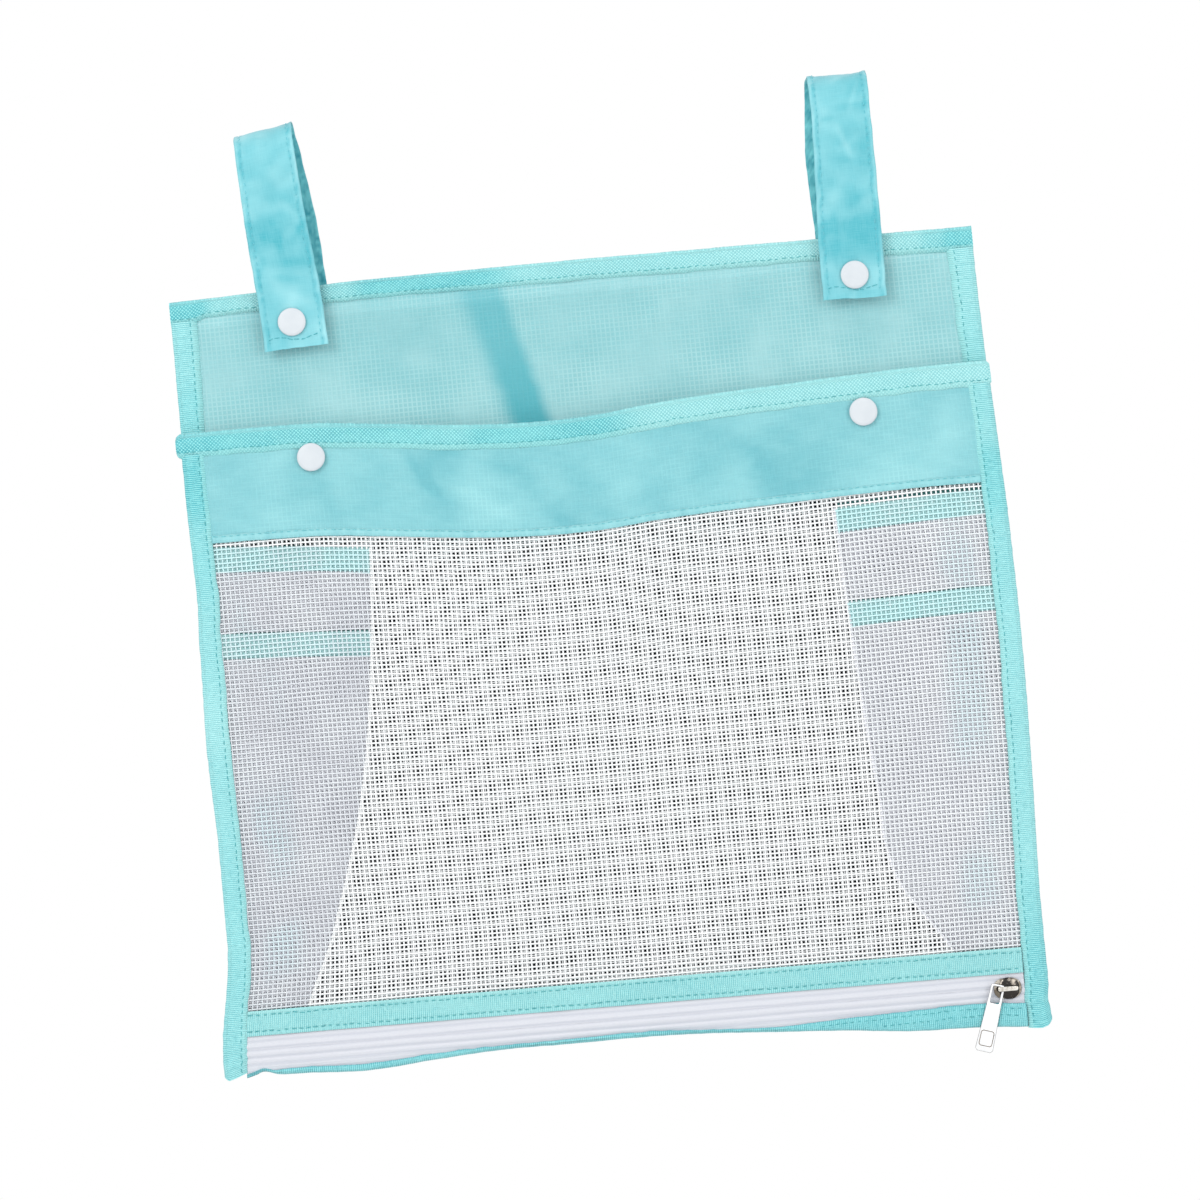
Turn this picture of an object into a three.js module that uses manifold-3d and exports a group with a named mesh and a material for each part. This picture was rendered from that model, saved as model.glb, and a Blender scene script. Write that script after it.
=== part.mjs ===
// Bath toy organizer: a flat mesh bag that hangs by two snap loops and empties through a zip
// along its lower edge. Lengths are in millimetres. +Z is up, the front faces -Y, and the origin
// is where the rail bears, midway between the inner tops of the two loops.
import * as THREE from "three";
import { mergeVertices } from "three/addons/utils/BufferGeometryUtils.js";
import Module from "manifold-3d";

// Overall size of the bag, to the outer edges of its bindings
const bagWidth = 353;
const bagHeight = 343;

// Cloth, tape and mesh thicknesses, and the clearance left between neighbours
const gap = 0.3;
const meshThick = 0.5;
const taffetaThick = 0.2;
const bindingThick = 0.5;
const gussetTapeThick = 0.3;
const trimThick = 0.4;
const sideGap = 3.4;

// How the hanging bag sags, leans and bows away from its flat cut
const mouthSag = 9.3;
const mouthSagShares = [0, 0, 0.06, 0.37, 0.72, 0.94, 0.92, 0.6, 0.38, 0.24, 0.09, 0, 0];
const mouthTilt = 0.6;
const rightDrop = 4.7;
const cornerFlare = 7.4;
const cornerFlareStart = 280;
const cornerFlareSpan = 58;
const rightBow = 4;
const panelBulge = 5;
const fadePower = 4;
const panelSteps = 14;

// Hanging loops
const loopRise = 71;
const railRadius = 13;
const strapWidth = 25.8;
const strapThick = 0.8;
const strapSewn = 8.3;
const strapSettle = 3;
const leftCrownInset = 48.1;
const leftTailInset = 53.8;
const leftSewnInset = 60.6;
const leftStrapTail = 25.3;
const leftSnapDrop = 13.9;
const rightCrownInset = 52.8;
const rightTailInset = 53.2;
const rightSewnInset = 56.6;
const rightStrapTail = 26.9;
const rightSnapDrop = 16.8;
const crownFacets = 8;
const legSteps = 9;

// Bound edges
const topBindingHeight = 10.5;
const sideBindingWidth = 9.7;
const mouthBindingHeight = 11;
const mouthDrop = 58.1;
const mouthOverhang = 2.4;
const seamInset = 2;
const mouthSteps = 18;
const sideSteps = 8;
const flareSteps = 6;

// Cloth bands and the mesh behind them
const liningDrop = 100;
const bandHeightLeft = 48.7;
const bandHeightRight = 52.3;
const netStrand = 6;
const netColumns = 11;
const frontNetRows = 7;
const backNetRows = 10;
const frontNetTop = 116;
const backNetTop = 24;
const netBottomMargin = 4;

// Folded side gussets
const gussetBelowBand = 0.4;
const gussetTop = mouthDrop + (bandHeightLeft + bandHeightRight) / 2 + gussetBelowBand;
const gussetDepth = 79;
const gussetOverlap = 6;
const gussetTapeHeight = 11;
const leftLowerTapeDrop = 38;
const rightLowerTapeDrop = 43;
const gussetSteps = 10;
const foldSteps = 6;
const leafSteps = 4;
const leftFoldShares = [1, 0.945, 0.84, 0.735, 0.6, 0.44];
const rightFoldShares = [0.885, 0.885, 0.84, 0.785, 0.68, 0.39];

// Zip along the lower edge
const zipDrop = 329;
const trimHeight = 10.9;
const trimToZip = 6.3;
const tapeWidth = 12.6;
const zipSlot = 1.5;
const coilWidth = 2.2;
const coilDepth = 1.6;
const coilFromSlot = 0.2;
const sliderInset = 16.5;

// Bottom binding: its lower edge below the zip line and its showing height, along the width
const bottomReach = 18;
const bottomShow = 10;
const bottomEdgeShares = [0.67, 0.65, 0.72, 0.59, 0.49, 0.48, 0.47, 0.51, 0.61, 0.71, 0.86, 0.9, 1];
const bottomShowShares = [0.2, 0.3, 0.35, 0.3, 0.2, 0.25, 0.25, 0.15, 0.2, 0.5, 0.85, 1, 1];

// Plastic snaps
const capRadius = 6.2;
const capThick = 1.4;
const capEdge = 0.5;
const snapRadius = 5.2;
const prongRadius = 1.2;
const studRadius = 2;
const socketBore = 2.6;
const socketFloor = 0.8;
const studBase = 1.4;
const strapSocket = 2;
const studReach = 1.8;
const studTip = 0.4;
const backCapThick = 1;
const mouthSnapInset = 56;
const leftMouthSnapDrop = 72.9;
const rightMouthSnapDrop = 74.7;
const snapSides = 16;

// Zip slider and its pull
const sliderLength = 12.1;
const sliderHeight = 9.4;
const plateThick = 1;
const sliderCorner = 4;
const postWidth = 0.8;
const postLength = 3;
const postInset = 1.2;
const flangeThick = 0.7;
const flangeReach = 1.5;
const bridgeSpan = 7;
const bridgeWidth = 1.2;
const bridgeThick = 1;
const pullClear = 0.4;
const pullThick = 1;
const pullLength = 30;
const pullTopWidth = 6;
const pullEndWidth = 8.4;
const eyeWidth = 4;
const eyeLength = 7.4;
const pullLean = THREE.MathUtils.degToRad(18);
const grooveWidth = 0.5;
const grooveDepth = 0.25;
const panelLength = 7;
const panelWidth = 6;
const panelFromEnd = 2.4;
const curveSides = 5;

const wasm = await Module();
wasm.setup();

// Derived heights and edges
const half = bagWidth / 2;
const topEdgeZ = -loopRise;
const trimTop = zipDrop - trimToZip - trimHeight;
const slotHalf = zipSlot / 2;
const fieldHalf = half - sideBindingWidth - 2 * gap;
const mouthSnapX = half - mouthSnapInset;
const bulgeHalf = mouthSnapX - capRadius - gap;

// Layers of each panel's bound edge, worked out from the pocket side towards the outside
function stackLayers(start, direction, layers) {
  const found = {};
  let at = start;
  for (const [name, thick] of layers) {
    const next = at + direction * thick;
    found[name] = [Math.min(at, next), Math.max(at, next)];
    at = next + direction * gap;
  }
  found.outer = at - direction * gap;
  return found;
}

const liningMiddle = taffetaThick / 2;
const backInner = -(bindingThick + gap + meshThick + gap + liningMiddle);
const back = stackLayers(backInner, 1, [
  ["innerWall", bindingThick],
  ["leaf", meshThick],
  ["lining", taffetaThick],
  ["mesh", meshThick],
  ["outerWall", bindingThick],
]);
const frontInner = backInner - sideGap;
const front = stackLayers(frontInner, -1, [
  ["innerWall", bindingThick],
  ["leaf", meshThick],
  ["gussetTape", gussetTapeThick],
  ["mesh", meshThick],
  ["band", taffetaThick],
  ["outerWall", bindingThick],
]);

const middle = ([low, high]) => (low + high) / 2;
const clamp01 = (t) => Math.min(1, Math.max(0, t));
const smooth = (t) => clamp01(t) ** 2 * (3 - 2 * clamp01(t));
const mix = (a, b, t) => a + (b - a) * t;

// The share of the way from the left edge to the right
const across = (x) => (x + half) / bagWidth;

// A value read from evenly spaced shares, along a smooth curve through them
function readShares(shares, t) {
  const points = shares.map((share, i) => new THREE.Vector2(i, share));
  return new THREE.SplineCurve(points).getPoint(clamp01(t)).y;
}

// Where a point of the flat cut hangs: x across, d down from the top edge, y through the layers
function hang(x, d, y) {
  const flare = cornerFlare * (1 - across(x)) ** fadePower;
  const bow = rightBow * across(x) ** fadePower * Math.sin((Math.PI * d) / bagHeight) ** 2;
  const drop = (rightDrop * across(x) * d) / bagHeight;
  return new THREE.Vector3(
    x - flare * smooth((d - cornerFlareStart) / cornerFlareSpan) + bow,
    y,
    topEdgeZ - d - drop,
  );
}

// The front panel also sags at its mouth and bulges forwards between the snaps
function hangFront(x, d, y) {
  const s = clamp01((d - mouthDrop) / (trimTop - mouthDrop));
  const fade = smooth(1 - s);
  const sag = mouthSag * readShares(mouthSagShares, across(x));
  const bulge = Math.max(0, 1 - (x / bulgeHalf) ** 2) ** 2 * (1 - s ** 2) ** 2;
  const p = hang(x, d, y - panelBulge * bulge);
  p.z -= (sag + mouthTilt * across(x)) * fade;
  return p;
}

// Evenly spaced values from a to b
const spaced = (a, b, steps) => Array.from({ length: steps + 1 }, (_, i) => mix(a, b, i / steps));

// Drops unused and doubled corners and turns the faces outwards
function closed(geometry) {
  const bare = new THREE.BufferGeometry();
  bare.setAttribute("position", geometry.getAttribute("position"));
  bare.setIndex(geometry.getIndex());
  const merged = mergeVertices(bare.index ? bare.toNonIndexed() : bare, gap / 1000);
  const p = merged.getAttribute("position");
  const kept = [];
  let volume = 0;
  const [a, b, c] = [new THREE.Vector3(), new THREE.Vector3(), new THREE.Vector3()];
  for (let i = 0; i < merged.index.count; i += 3) {
    const corners = [0, 1, 2].map((k) => merged.index.getX(i + k));
    if (new Set(corners).size < 3) continue;
    [a, b, c].forEach((v, k) => v.fromBufferAttribute(p, corners[k]));
    volume += a.dot(b.cross(c));
    kept.push(...corners);
  }
  if (volume < 0) kept.reverse();
  merged.setIndex(kept);
  return merged;
}

// A closed solid between two matching grids of points; open cells are holes right through it
function slab(near, far, isOpen = () => false) {
  const rows = near.length;
  const columns = near[0].length;
  const points = [...near.flat(), ...far.flat()];
  const at = (side, i, j) => (side * rows + i) * columns + j;
  const index = [];
  const quad = (a, b, c, d) => index.push(a, b, c, a, c, d);
  const open = (i, j) => i < 0 || j < 0 || i > rows - 2 || j > columns - 2 || isOpen(i, j);
  for (let i = 0; i < rows - 1; i++) {
    for (let j = 0; j < columns - 1; j++) {
      if (open(i, j)) continue;
      const corners = [[i, j], [i, j + 1], [i + 1, j + 1], [i + 1, j]];
      const beyond = [[i - 1, j], [i, j + 1], [i + 1, j], [i, j - 1]];
      quad(...corners.map(([r, c]) => at(0, r, c)));
      quad(...[...corners].reverse().map(([r, c]) => at(1, r, c)));
      beyond.forEach(([r, c], k) => {
        if (!open(r, c)) return;
        const [from, to] = [corners[k], corners[(k + 1) % corners.length]];
        quad(at(0, ...to), at(0, ...from), at(1, ...from), at(1, ...to));
      });
    }
  }
  const geometry = new THREE.BufferGeometry().setFromPoints(points);
  geometry.setIndex(index);
  return closed(geometry);
}

// A hanging sheet between two layer faces, over given columns and rows of the flat cut
function sheet(place, xs, downs, [low, high], isOpen) {
  const grid = (y) => downs.map((down) => xs.map((x) => place(x, down(x), y)));
  return slab(grid(low), grid(high), isOpen);
}

// A profile of {near, far} points swept along stations
const sweep = (stations, profile, place) =>
  slab(
    stations.map((s) => profile.map(({ near }) => place(s, ...near))),
    stations.map((s) => profile.map(({ far }) => place(s, ...far))),
  );

// The folded tape round an edge: width inwards from the edge, between two outer faces
function foldedTape(width, low, high) {
  const t = bindingThick;
  return [
    { near: [width, low], far: [width, low + t] },
    { near: [0, low], far: [t, low + t] },
    { near: [0, high], far: [t, high - t] },
    { near: [width, high], far: [width, high - t] },
  ];
}

function toSolid(geometry) {
  return new wasm.Manifold(
    new wasm.Mesh({
      numProp: 3,
      vertProperties: new Float32Array(geometry.getAttribute("position").array),
      triVerts: new Uint32Array(geometry.getIndex().array),
    }),
  );
}

function toGeometry(solid) {
  const mesh = solid.getMesh();
  const geometry = new THREE.BufferGeometry();
  geometry.setAttribute("position", new THREE.BufferAttribute(mesh.vertProperties, 3));
  geometry.setIndex(new THREE.BufferAttribute(mesh.triVerts, 1));
  return geometry;
}

const joined = (pieces) => toGeometry(pieces.map(toSolid).reduce((a, b) => a.add(b)));
const cut = (piece, tools) => toGeometry(tools.map(toSolid).reduce((a, b) => a.subtract(b), toSolid(piece)));

// A turned piece along Y: the profile is [radius, y] pairs that start and end on the axis
function turned(profile, x = 0, z = 0) {
  const points = profile.map(([r, y]) => new THREE.Vector2(r, y));
  const geometry = new THREE.LatheGeometry(points, snapSides);
  geometry.translate(x, 0, z);
  return closed(geometry);
}

const rod = (radius, low, high, x, z) =>
  turned([[0, low], [radius, low], [radius, high], [0, high]], x, z);

// A flat plate in the XZ plane, from an outline drawn as (x, z), between two y faces
function plate(shape, low, high) {
  const options = { depth: high - low, bevelEnabled: false, curveSegments: curveSides };
  const geometry = new THREE.ExtrudeGeometry(shape, options);
  geometry.rotateX(Math.PI / 2);
  geometry.translate(0, high, 0);
  return closed(geometry);
}

function block([x0, x1], [y0, y1], [z0, z1]) {
  const geometry = new THREE.BoxGeometry(x1 - x0, y1 - y0, z1 - z0);
  geometry.translate((x0 + x1) / 2, (y0 + y1) / 2, (z0 + z1) / 2);
  return closed(geometry);
}

// Materials
const finish = (color, roughness, metalness = 0) =>
  new THREE.MeshStandardMaterial({ color, roughness, metalness });
const finishes = {
  mesh: () => finish(0xf4f8f8, 0.55),
  taffeta: () => finish(0x86d6e0, 0.6),
  lining: () => finish(0xa0d8de, 0.6),
  tape: () => finish(0x84e0dc, 0.8),
  zipTape: () => finish(0xe6e6ee, 0.85),
  coil: () => finish(0xf2f2f6, 0.5),
  snap: () => finish(0xe8eef5, 0.35),
  nickel: () => finish(0xc8c8c4, 0.25, 1),
};

const part = new THREE.Group();
part.name = "bath_toy_organizer";

function addPiece(name, geometry, kind, parent = part) {
  const mesh = new THREE.Mesh(geometry, finishes[kind]());
  mesh.name = name;
  parent.add(mesh);
  return mesh;
}

// Hanging loops: each is a strip over the rail, sewn behind the top binding, snapped in front
const strapMiddle = railRadius + strapThick / 2;
const rearLegY = back.outer + gap + strapThick / 2;
const strapStack = gap + studBase + gap + strapSocket + gap;
const frontLegY = back.innerWall[0] - strapStack - strapThick / 2;
const splitZ = -railRadius;
const crown = { z: -railRadius };

// One leg's middle line, eased from the side of the rail to the panel
function legLine(endY, endZ) {
  const startY = Math.sign(endY) * strapMiddle;
  const settledZ = topEdgeZ - strapSettle;
  return spaced(splitZ, settledZ, legSteps)
    .map((z) => ({ y: mix(startY, endY, smooth((splitZ - z) / (splitZ - settledZ))), z }))
    .concat({ y: endY, z: endZ });
}

// The strip's middle line over the rail, from the back of the rail to the front
function crownLine() {
  const half = Math.PI / 2;
  const facet = Math.PI / crownFacets;
  const turns = [-half, ...spaced(facet / 2 - half, half - facet / 2, crownFacets - 1), half];
  const radius = strapMiddle / Math.cos(facet / 2);
  return turns.map((a, i) => {
    const onEnd = i === 0 || i === turns.length - 1;
    const r = onEnd ? strapMiddle : radius;
    return { y: -r * Math.sin(a), z: crown.z + r * Math.cos(a) };
  });
}

// A strip of cloth along a line in the YZ plane, its middle at centreOf(point)
function strip(line, centreOf) {
  const grid = (side) =>
    line.map((p, i) => {
      const before = line[Math.max(0, i - 1)];
      const after = line[Math.min(line.length - 1, i + 1)];
      const along = new THREE.Vector2(after.y - before.y, after.z - before.z).normalize();
      const y = p.y - (side * along.y * strapThick) / 2;
      const z = p.z + (side * along.x * strapThick) / 2;
      return [-1, 1].map((e) => new THREE.Vector3(centreOf(p) + (e * strapWidth) / 2, y, z));
    });
  return slab(grid(1), grid(-1));
}

const sewnZ = topEdgeZ - strapSewn;
const alongLeg = (from, to, z, endZ) => mix(from, to, clamp01(z / endZ));

// Hole through a layer for a snap's prong
const prongHole = (x, z, [low, high]) => rod(prongRadius + gap, low - gap, high + gap, x, z);

// The two halves of a snap: cap and socket on the outer cloth, stud and back cap on the panel
function addSnap(name, x, z, [outerFace, outerBack], [panelFront, panelBack]) {
  const capBack = outerFace - gap;
  const capFront = capBack - capThick;
  const cap = turned(
    [
      [0, outerBack],
      [prongRadius, outerBack],
      [prongRadius, capBack],
      [capRadius, capBack],
      [capRadius, capBack - capEdge],
      [capRadius - capEdge, capFront + capEdge / 2],
      [capRadius / 2, capFront],
      [0, capFront],
    ],
    x,
    z,
  );
  const baseBack = panelFront - gap;
  const baseFront = baseBack - studBase;
  const socketFront = outerBack + gap;
  const socketBack = baseFront - gap;
  const socket = turned(
    [
      [0, socketFront],
      [snapRadius, socketFront],
      [snapRadius, socketBack],
      [socketBore, socketBack],
      [socketBore, socketFront + socketFloor],
      [0, socketFront + socketFloor],
    ],
    x,
    z,
  );
  const tip = Math.max(socketBack - studReach, socketFront + socketFloor + gap);
  const stud = turned(
    [
      [0, baseBack],
      [snapRadius, baseBack],
      [snapRadius, baseFront],
      [studRadius, baseFront],
      [studRadius, tip + studTip],
      [studRadius - studTip, tip],
      [0, tip],
    ],
    x,
    z,
  );
  const backCapFront = panelBack + gap;
  const backCap = turned(
    [
      [0, panelFront],
      [prongRadius, panelFront],
      [prongRadius, backCapFront],
      [snapRadius, backCapFront],
      [snapRadius, backCapFront + backCapThick - capEdge],
      [snapRadius - capEdge, backCapFront + backCapThick],
      [0, backCapFront + backCapThick],
    ],
    x,
    z,
  );
  addPiece(name + "_cap", cap, "snap");
  addPiece(name + "_socket", socket, "snap");
  addPiece(name + "_stud", stud, "snap");
  addPiece(name + "_back_cap", backCap, "snap");
  return { x, z };
}

function addLoop(side, sign, [crownInset, tailInset, sewnInset], strapTail, snapDrop) {
  const crownX = sign * (half - crownInset);
  const tailX = sign * (half - tailInset);
  const sewnX = sign * (half - sewnInset);
  const tailZ = topEdgeZ - strapTail;
  const rearX = (p) => alongLeg(crownX, sewnX, p.z, sewnZ);
  const frontX = (p) => alongLeg(crownX, tailX, p.z, tailZ);
  const rearLine = [...legLine(rearLegY, sewnZ).reverse(), ...crownLine().slice(1)];
  const centreOf = (p) => (p.y > 0 ? rearX(p) : frontX(p));
  addPiece(side + "_strap_back", strip(rearLine, centreOf), "taffeta");
  const frontLine = legLine(frontLegY, tailZ);
  frontLine[0] = { y: frontLine[0].y, z: splitZ - gap };
  const snap = { z: topEdgeZ - snapDrop };
  snap.x = frontX(snap);
  const layer = [frontLegY - strapThick / 2, frontLegY + strapThick / 2];
  const leg = cut(strip(frontLine, frontX), [prongHole(snap.x, snap.z, layer)]);
  addPiece(side + "_strap_front", leg, "taffeta");
  const panel = [back.innerWall[0], back.outer];
  return addSnap(side + "_strap_snap", snap.x, snap.z, layer, panel);
}

const leftInsets = [leftCrownInset, leftTailInset, leftSewnInset];
const rightInsets = [rightCrownInset, rightTailInset, rightSewnInset];
const strapSnaps = [
  addLoop("left", -1, leftInsets, leftStrapTail, leftSnapDrop),
  addLoop("right", 1, rightInsets, rightStrapTail, rightSnapDrop),
];

// Mouth snaps, on the band, with their caps over the lower edge of the mouth binding
function addMouthSnap(side, sign, drop) {
  const at = hangFront(sign * mouthSnapX, drop, 0);
  const outer = [front.outer, front.innerWall[1]];
  return addSnap(side + "_mouth_snap", at.x, at.z, outer, [back.lining[0], back.mesh[1]]);
}

const mouthSnaps = [
  addMouthSnap("left", -1, leftMouthSnapDrop),
  addMouthSnap("right", 1, rightMouthSnapDrop),
];

// The lower edge of the bag, and where each layer inside the bottom binding ends
const bottomEdge = (x) => zipDrop + bottomReach * readShares(bottomEdgeShares, across(x));
const sheetBottom = (x) => bottomEdge(x) - bindingThick - 2 * gap;
const bottomTop = (x) => bottomEdge(x) - bindingThick - bottomShow * readShares(bottomShowShares, across(x));

// Columns and rows of a net: pairs of lines either side of each strand
function netLines(outerLow, outerHigh, low, high, count) {
  const pitch = (high - low) / count;
  const lines = [outerLow];
  for (let k = 0; k < count; k++) {
    lines.push(low + k * pitch + netStrand / 2, low + (k + 1) * pitch - netStrand / 2);
  }
  return [...lines, outerHigh];
}

// A mesh panel: a flat net whose gaps stop short of the snaps
function netPanel(place, top, netTop, netRows, netBottom, layer, snaps) {
  const xs = netLines(seamInset - half, half - seamInset, -fieldHalf, fieldHalf, netColumns);
  const lines = netLines(top, 0, netTop, netBottom, netRows);
  const downs = lines.map((d) => () => d);
  downs[downs.length - 1] = (x) => Math.max(netBottom + netBottomMargin / 2, sheetBottom(x));
  const nearSnap = (i, j) =>
    snaps.some(({ x, z }) => {
      const low = place(xs[j], lines[i], 0);
      const high = place(xs[j + 1], lines[i + 1], 0);
      const reach = capRadius + gap;
      const besideX = x < low.x - reach || x > high.x + reach;
      return !besideX && z < low.z + reach && z > high.z - reach;
    });
  const isOpen = (i, j) =>
    i % 2 === 1 && j % 2 === 1 && i < lines.length - 2 && !nearSnap(i, j);
  return { xs, downs, isOpen, layer };
}

const panelXs = spaced(seamInset - half, half - seamInset, panelSteps);
const allSnaps = [...strapSnaps, ...mouthSnaps];

// Back panel: mesh, cloth lining over its upper part, and the bindings that close its edges
function addBackPanel() {
  const net = netPanel(
    hang, seamInset, backNetTop, backNetRows, zipDrop, back.mesh, allSnaps,
  );
  const holes = (layer) => allSnaps.map(({ x, z }) => prongHole(x, z, layer));
  addPiece("back_mesh", cut(sheet(hang, net.xs, net.downs, net.layer, net.isOpen), holes(back.mesh)), "mesh");
  const liningRows = spaced(seamInset, liningDrop, 4).map((d) => () => d);
  addPiece("back_lining", cut(sheet(hang, panelXs, liningRows, back.lining), holes(back.lining)), "lining");
  const topXs = spaced(-half, half, mouthSteps);
  const edge = foldedTape(topBindingHeight, back.innerWall[0], back.outer);
  addPiece("top_binding", sweep(topXs, edge, (x, e, y) => hang(x, e, y)), "tape");
}

// One side binding of a panel, from just under the binding above it to the bottom corner
function addSideBinding(name, sign, place, top, low, high) {
  const bottom = bottomEdge(sign * half);
  const tape = foldedTape(sideBindingWidth, low, high);
  const onEdge = (d, e, y) => place(sign * (half - e), d, y);
  const upper = spaced(top, cornerFlareStart, sideSteps);
  const lower = spaced(cornerFlareStart, bottom, flareSteps).slice(1);
  addPiece(name, sweep([...upper, ...lower], tape, onEdge), "tape");
}

// Front panel: mesh, cloth band, bindings
function addFrontPanel() {
  const meshTop = mouthDrop + seamInset;
  const net = netPanel(
    hangFront, meshTop, frontNetTop, frontNetRows, trimTop, front.mesh, mouthSnaps,
  );
  const meshBottom = zipDrop - slotHalf - tapeWidth - gap;
  net.downs[net.downs.length - 1] = () => meshBottom;
  const holes = (layer) => mouthSnaps.map(({ x, z }) => prongHole(x, z, layer));
  const mesh = sheet(hangFront, net.xs, net.downs, net.layer, net.isOpen);
  addPiece("front_mesh", cut(mesh, holes(front.mesh)), "mesh");
  const bandBottom = (x) => mouthDrop + mix(bandHeightLeft, bandHeightRight, across(x));
  const bandRows = spaced(0, 1, 2).map((t) => (x) => mix(meshTop, bandBottom(x), t));
  const band = sheet(hangFront, net.xs, bandRows, front.band);
  addPiece("front_band", cut(band, holes(front.band)), "taffeta");
  const mouthXs = spaced(-half - mouthOverhang, half, mouthSteps);
  const edge = foldedTape(mouthBindingHeight, front.outer, front.innerWall[1]);
  addPiece("mouth_binding", sweep(mouthXs, edge, (x, e, y) => hangFront(x, mouthDrop + e, y)), "tape");
}

addBackPanel();
addFrontPanel();
const mouthLower = mouthDrop + mouthBindingHeight + gap;
for (const [side, sign] of [["left", -1], ["right", 1]]) {
  addSideBinding(side + "_back_binding", sign, hang, topBindingHeight + gap, back.innerWall[0], back.outer);
  addSideBinding(side + "_front_binding", sign, hangFront, mouthLower, front.outer, front.innerWall[1]);
}

// Side gussets: each is one sheet folded inwards between the front and back side bindings
function addGusset(side, sign, foldShares, lowerTapeDrop) {
  const bottom = trimTop + gussetOverlap;
  const depthAt = (d) => gussetDepth * readShares(foldShares, (d - gussetTop) / (bottom - gussetTop));
  const [frontY, backY] = [middle(front.leaf), middle(back.leaf)];
  const radius = (backY - frontY) / 2;
  const arc = spaced(0, 1, foldSteps).slice(1, -1);
  const leaf = spaced(0, 1, leafSteps);
  const profile = [
    ...leaf.map((t) => ({ t, turn: 0 })),
    ...arc.map((turn) => ({ t: 1, turn })),
    ...leaf.map((t) => ({ t: 1 - t, turn: 1 })),
  ];
  const pointAt = (d, { t, turn }, offset) => {
    const reach = mix(seamInset, depthAt(d) - radius, t);
    const angle = Math.PI * turn;
    const e = reach + (radius + offset) * Math.sin(angle);
    const y = (frontY + backY) / 2 - (radius + offset) * Math.cos(angle);
    const x = sign * (half - e);
    return hangFront(x, d, y).lerp(hang(x, d, y), smooth(turn));
  };
  const rows = spaced(gussetTop, bottom, gussetSteps);
  const face = (offset) => rows.map((d) => profile.map((p) => pointAt(d, p, offset)));
  addPiece(side + "_gusset", slab(face(meshThick / 2), face(-meshThick / 2)), "mesh");
  const tapes = [["upper", gussetTop], ["lower", gussetTop + lowerTapeDrop]];
  for (const [which, top] of tapes) {
    const downs = [top, top + gussetTapeHeight];
    const grid = (y) =>
      downs.map((d) => leaf.map((t) => {
        const e = mix(seamInset, depthAt(d) - radius, t);
        return hangFront(sign * (half - e), d, y);
      }));
    const [low, high] = front.gussetTape;
    addPiece(side + "_gusset_" + which + "_tape", slab(grid(low), grid(high)), "tape");
  }
}

addGusset("left", -1, leftFoldShares, leftLowerTapeDrop);
addGusset("right", 1, rightFoldShares, rightLowerTapeDrop);

// Zip: cloth trim, two tapes with a coil each, and the binding that closes the bottom
const coilFront = front.mesh[1] + gap;
const coilLayer = [coilFront, coilFront + coilDepth];
const fieldXs = spaced(-fieldHalf, fieldHalf, panelSteps);

function addZip() {
  const trimBack = front.mesh[0] - gap;
  const trimRows = [trimTop, trimTop + trimHeight].map((d) => () => d);
  addPiece("zip_trim", sheet(hangFront, fieldXs, trimRows, [trimBack - trimThick, trimBack]), "tape");
  const upperRows = [zipDrop - slotHalf - tapeWidth, zipDrop - slotHalf].map((d) => () => d);
  addPiece("zip_upper_tape", sheet(hangFront, panelXs, upperRows, front.mesh), "zipTape");
  const lowerRows = [() => zipDrop + slotHalf, sheetBottom];
  addPiece("zip_lower_tape", sheet(hangFront, panelXs, lowerRows, front.mesh), "zipTape");
  for (const [name, sign] of [["zip_upper_coil", -1], ["zip_lower_coil", 1]]) {
    const inner = zipDrop + sign * (slotHalf + coilFromSlot);
    const rows = [inner, inner + sign * coilWidth].map((d) => () => d);
    addPiece(name, sheet(hangFront, fieldXs, rows, coilLayer), "coil");
  }
}

// Bottom binding in two halves that meet under the pocket, so that the front panel can swing
function addBottomBinding() {
  const t = bindingThick;
  const half = (name, place, wall, lip, inward, top) => {
    const profile = (x) => {
      const [low, high] = [bottomEdge(x), top(x)];
      return [
        { near: [high, wall], far: [high, wall + inward * t] },
        { near: [low, wall], far: [low - t, wall + inward * t] },
        { near: [low, lip], far: [low - t, lip] },
      ];
    };
    const face = (which) => fieldXs.map((x) => profile(x).map((p) => place(x, ...p[which])));
    addPiece(name, slab(face("near"), face("far")), "tape");
  };
  const backTop = (x) => bottomEdge(x) - bindingThick - bottomShow;
  half("bottom_front_binding", hangFront, front.outer, frontInner, 1, bottomTop);
  half("bottom_back_binding", hang, back.outer, frontInner + gap, -1, backTop);
}

addZip();
addBottomBinding();

// Zip slider, closed at the right-hand end; its frame lies along the zip line
const sliderX = half - sliderInset;
const sliderAt = hangFront(sliderX, zipDrop, 0);
const zipEnd = hangFront(-sliderX, zipDrop, 0);
const zipSlope = Math.atan2(zipEnd.z - sliderAt.z, sliderAt.x - zipEnd.x);
const slider = new THREE.Group();
slider.name = "slider";
slider.position.set(sliderAt.x, 0, sliderAt.z);
slider.rotation.y = zipSlope;
part.add(slider);

// A rectangle with rounded corners, drawn as (x, z)
function roundedBox(width, height, corner) {
  const [w, h] = [width / 2 - corner, height / 2 - corner];
  const shape = new THREE.Shape();
  shape.absarc(w, h, corner, 0, Math.PI / 2, false);
  shape.absarc(-w, h, corner, Math.PI / 2, Math.PI, false);
  shape.absarc(-w, -h, corner, Math.PI, (3 * Math.PI) / 2, false);
  shape.absarc(w, -h, corner, (3 * Math.PI) / 2, 2 * Math.PI, false);
  return shape;
}

const plateBack = front.mesh[0] - gap;
const plateFront = plateBack - plateThick;
const pullBack = Math.min(plateFront, front.outer) - pullClear;
const pullFront = pullBack - pullThick;
const bridgeBack = pullFront - pullClear;
const bridgeFront = bridgeBack - bridgeThick;
const footRadius = bridgeWidth / 2;

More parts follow.
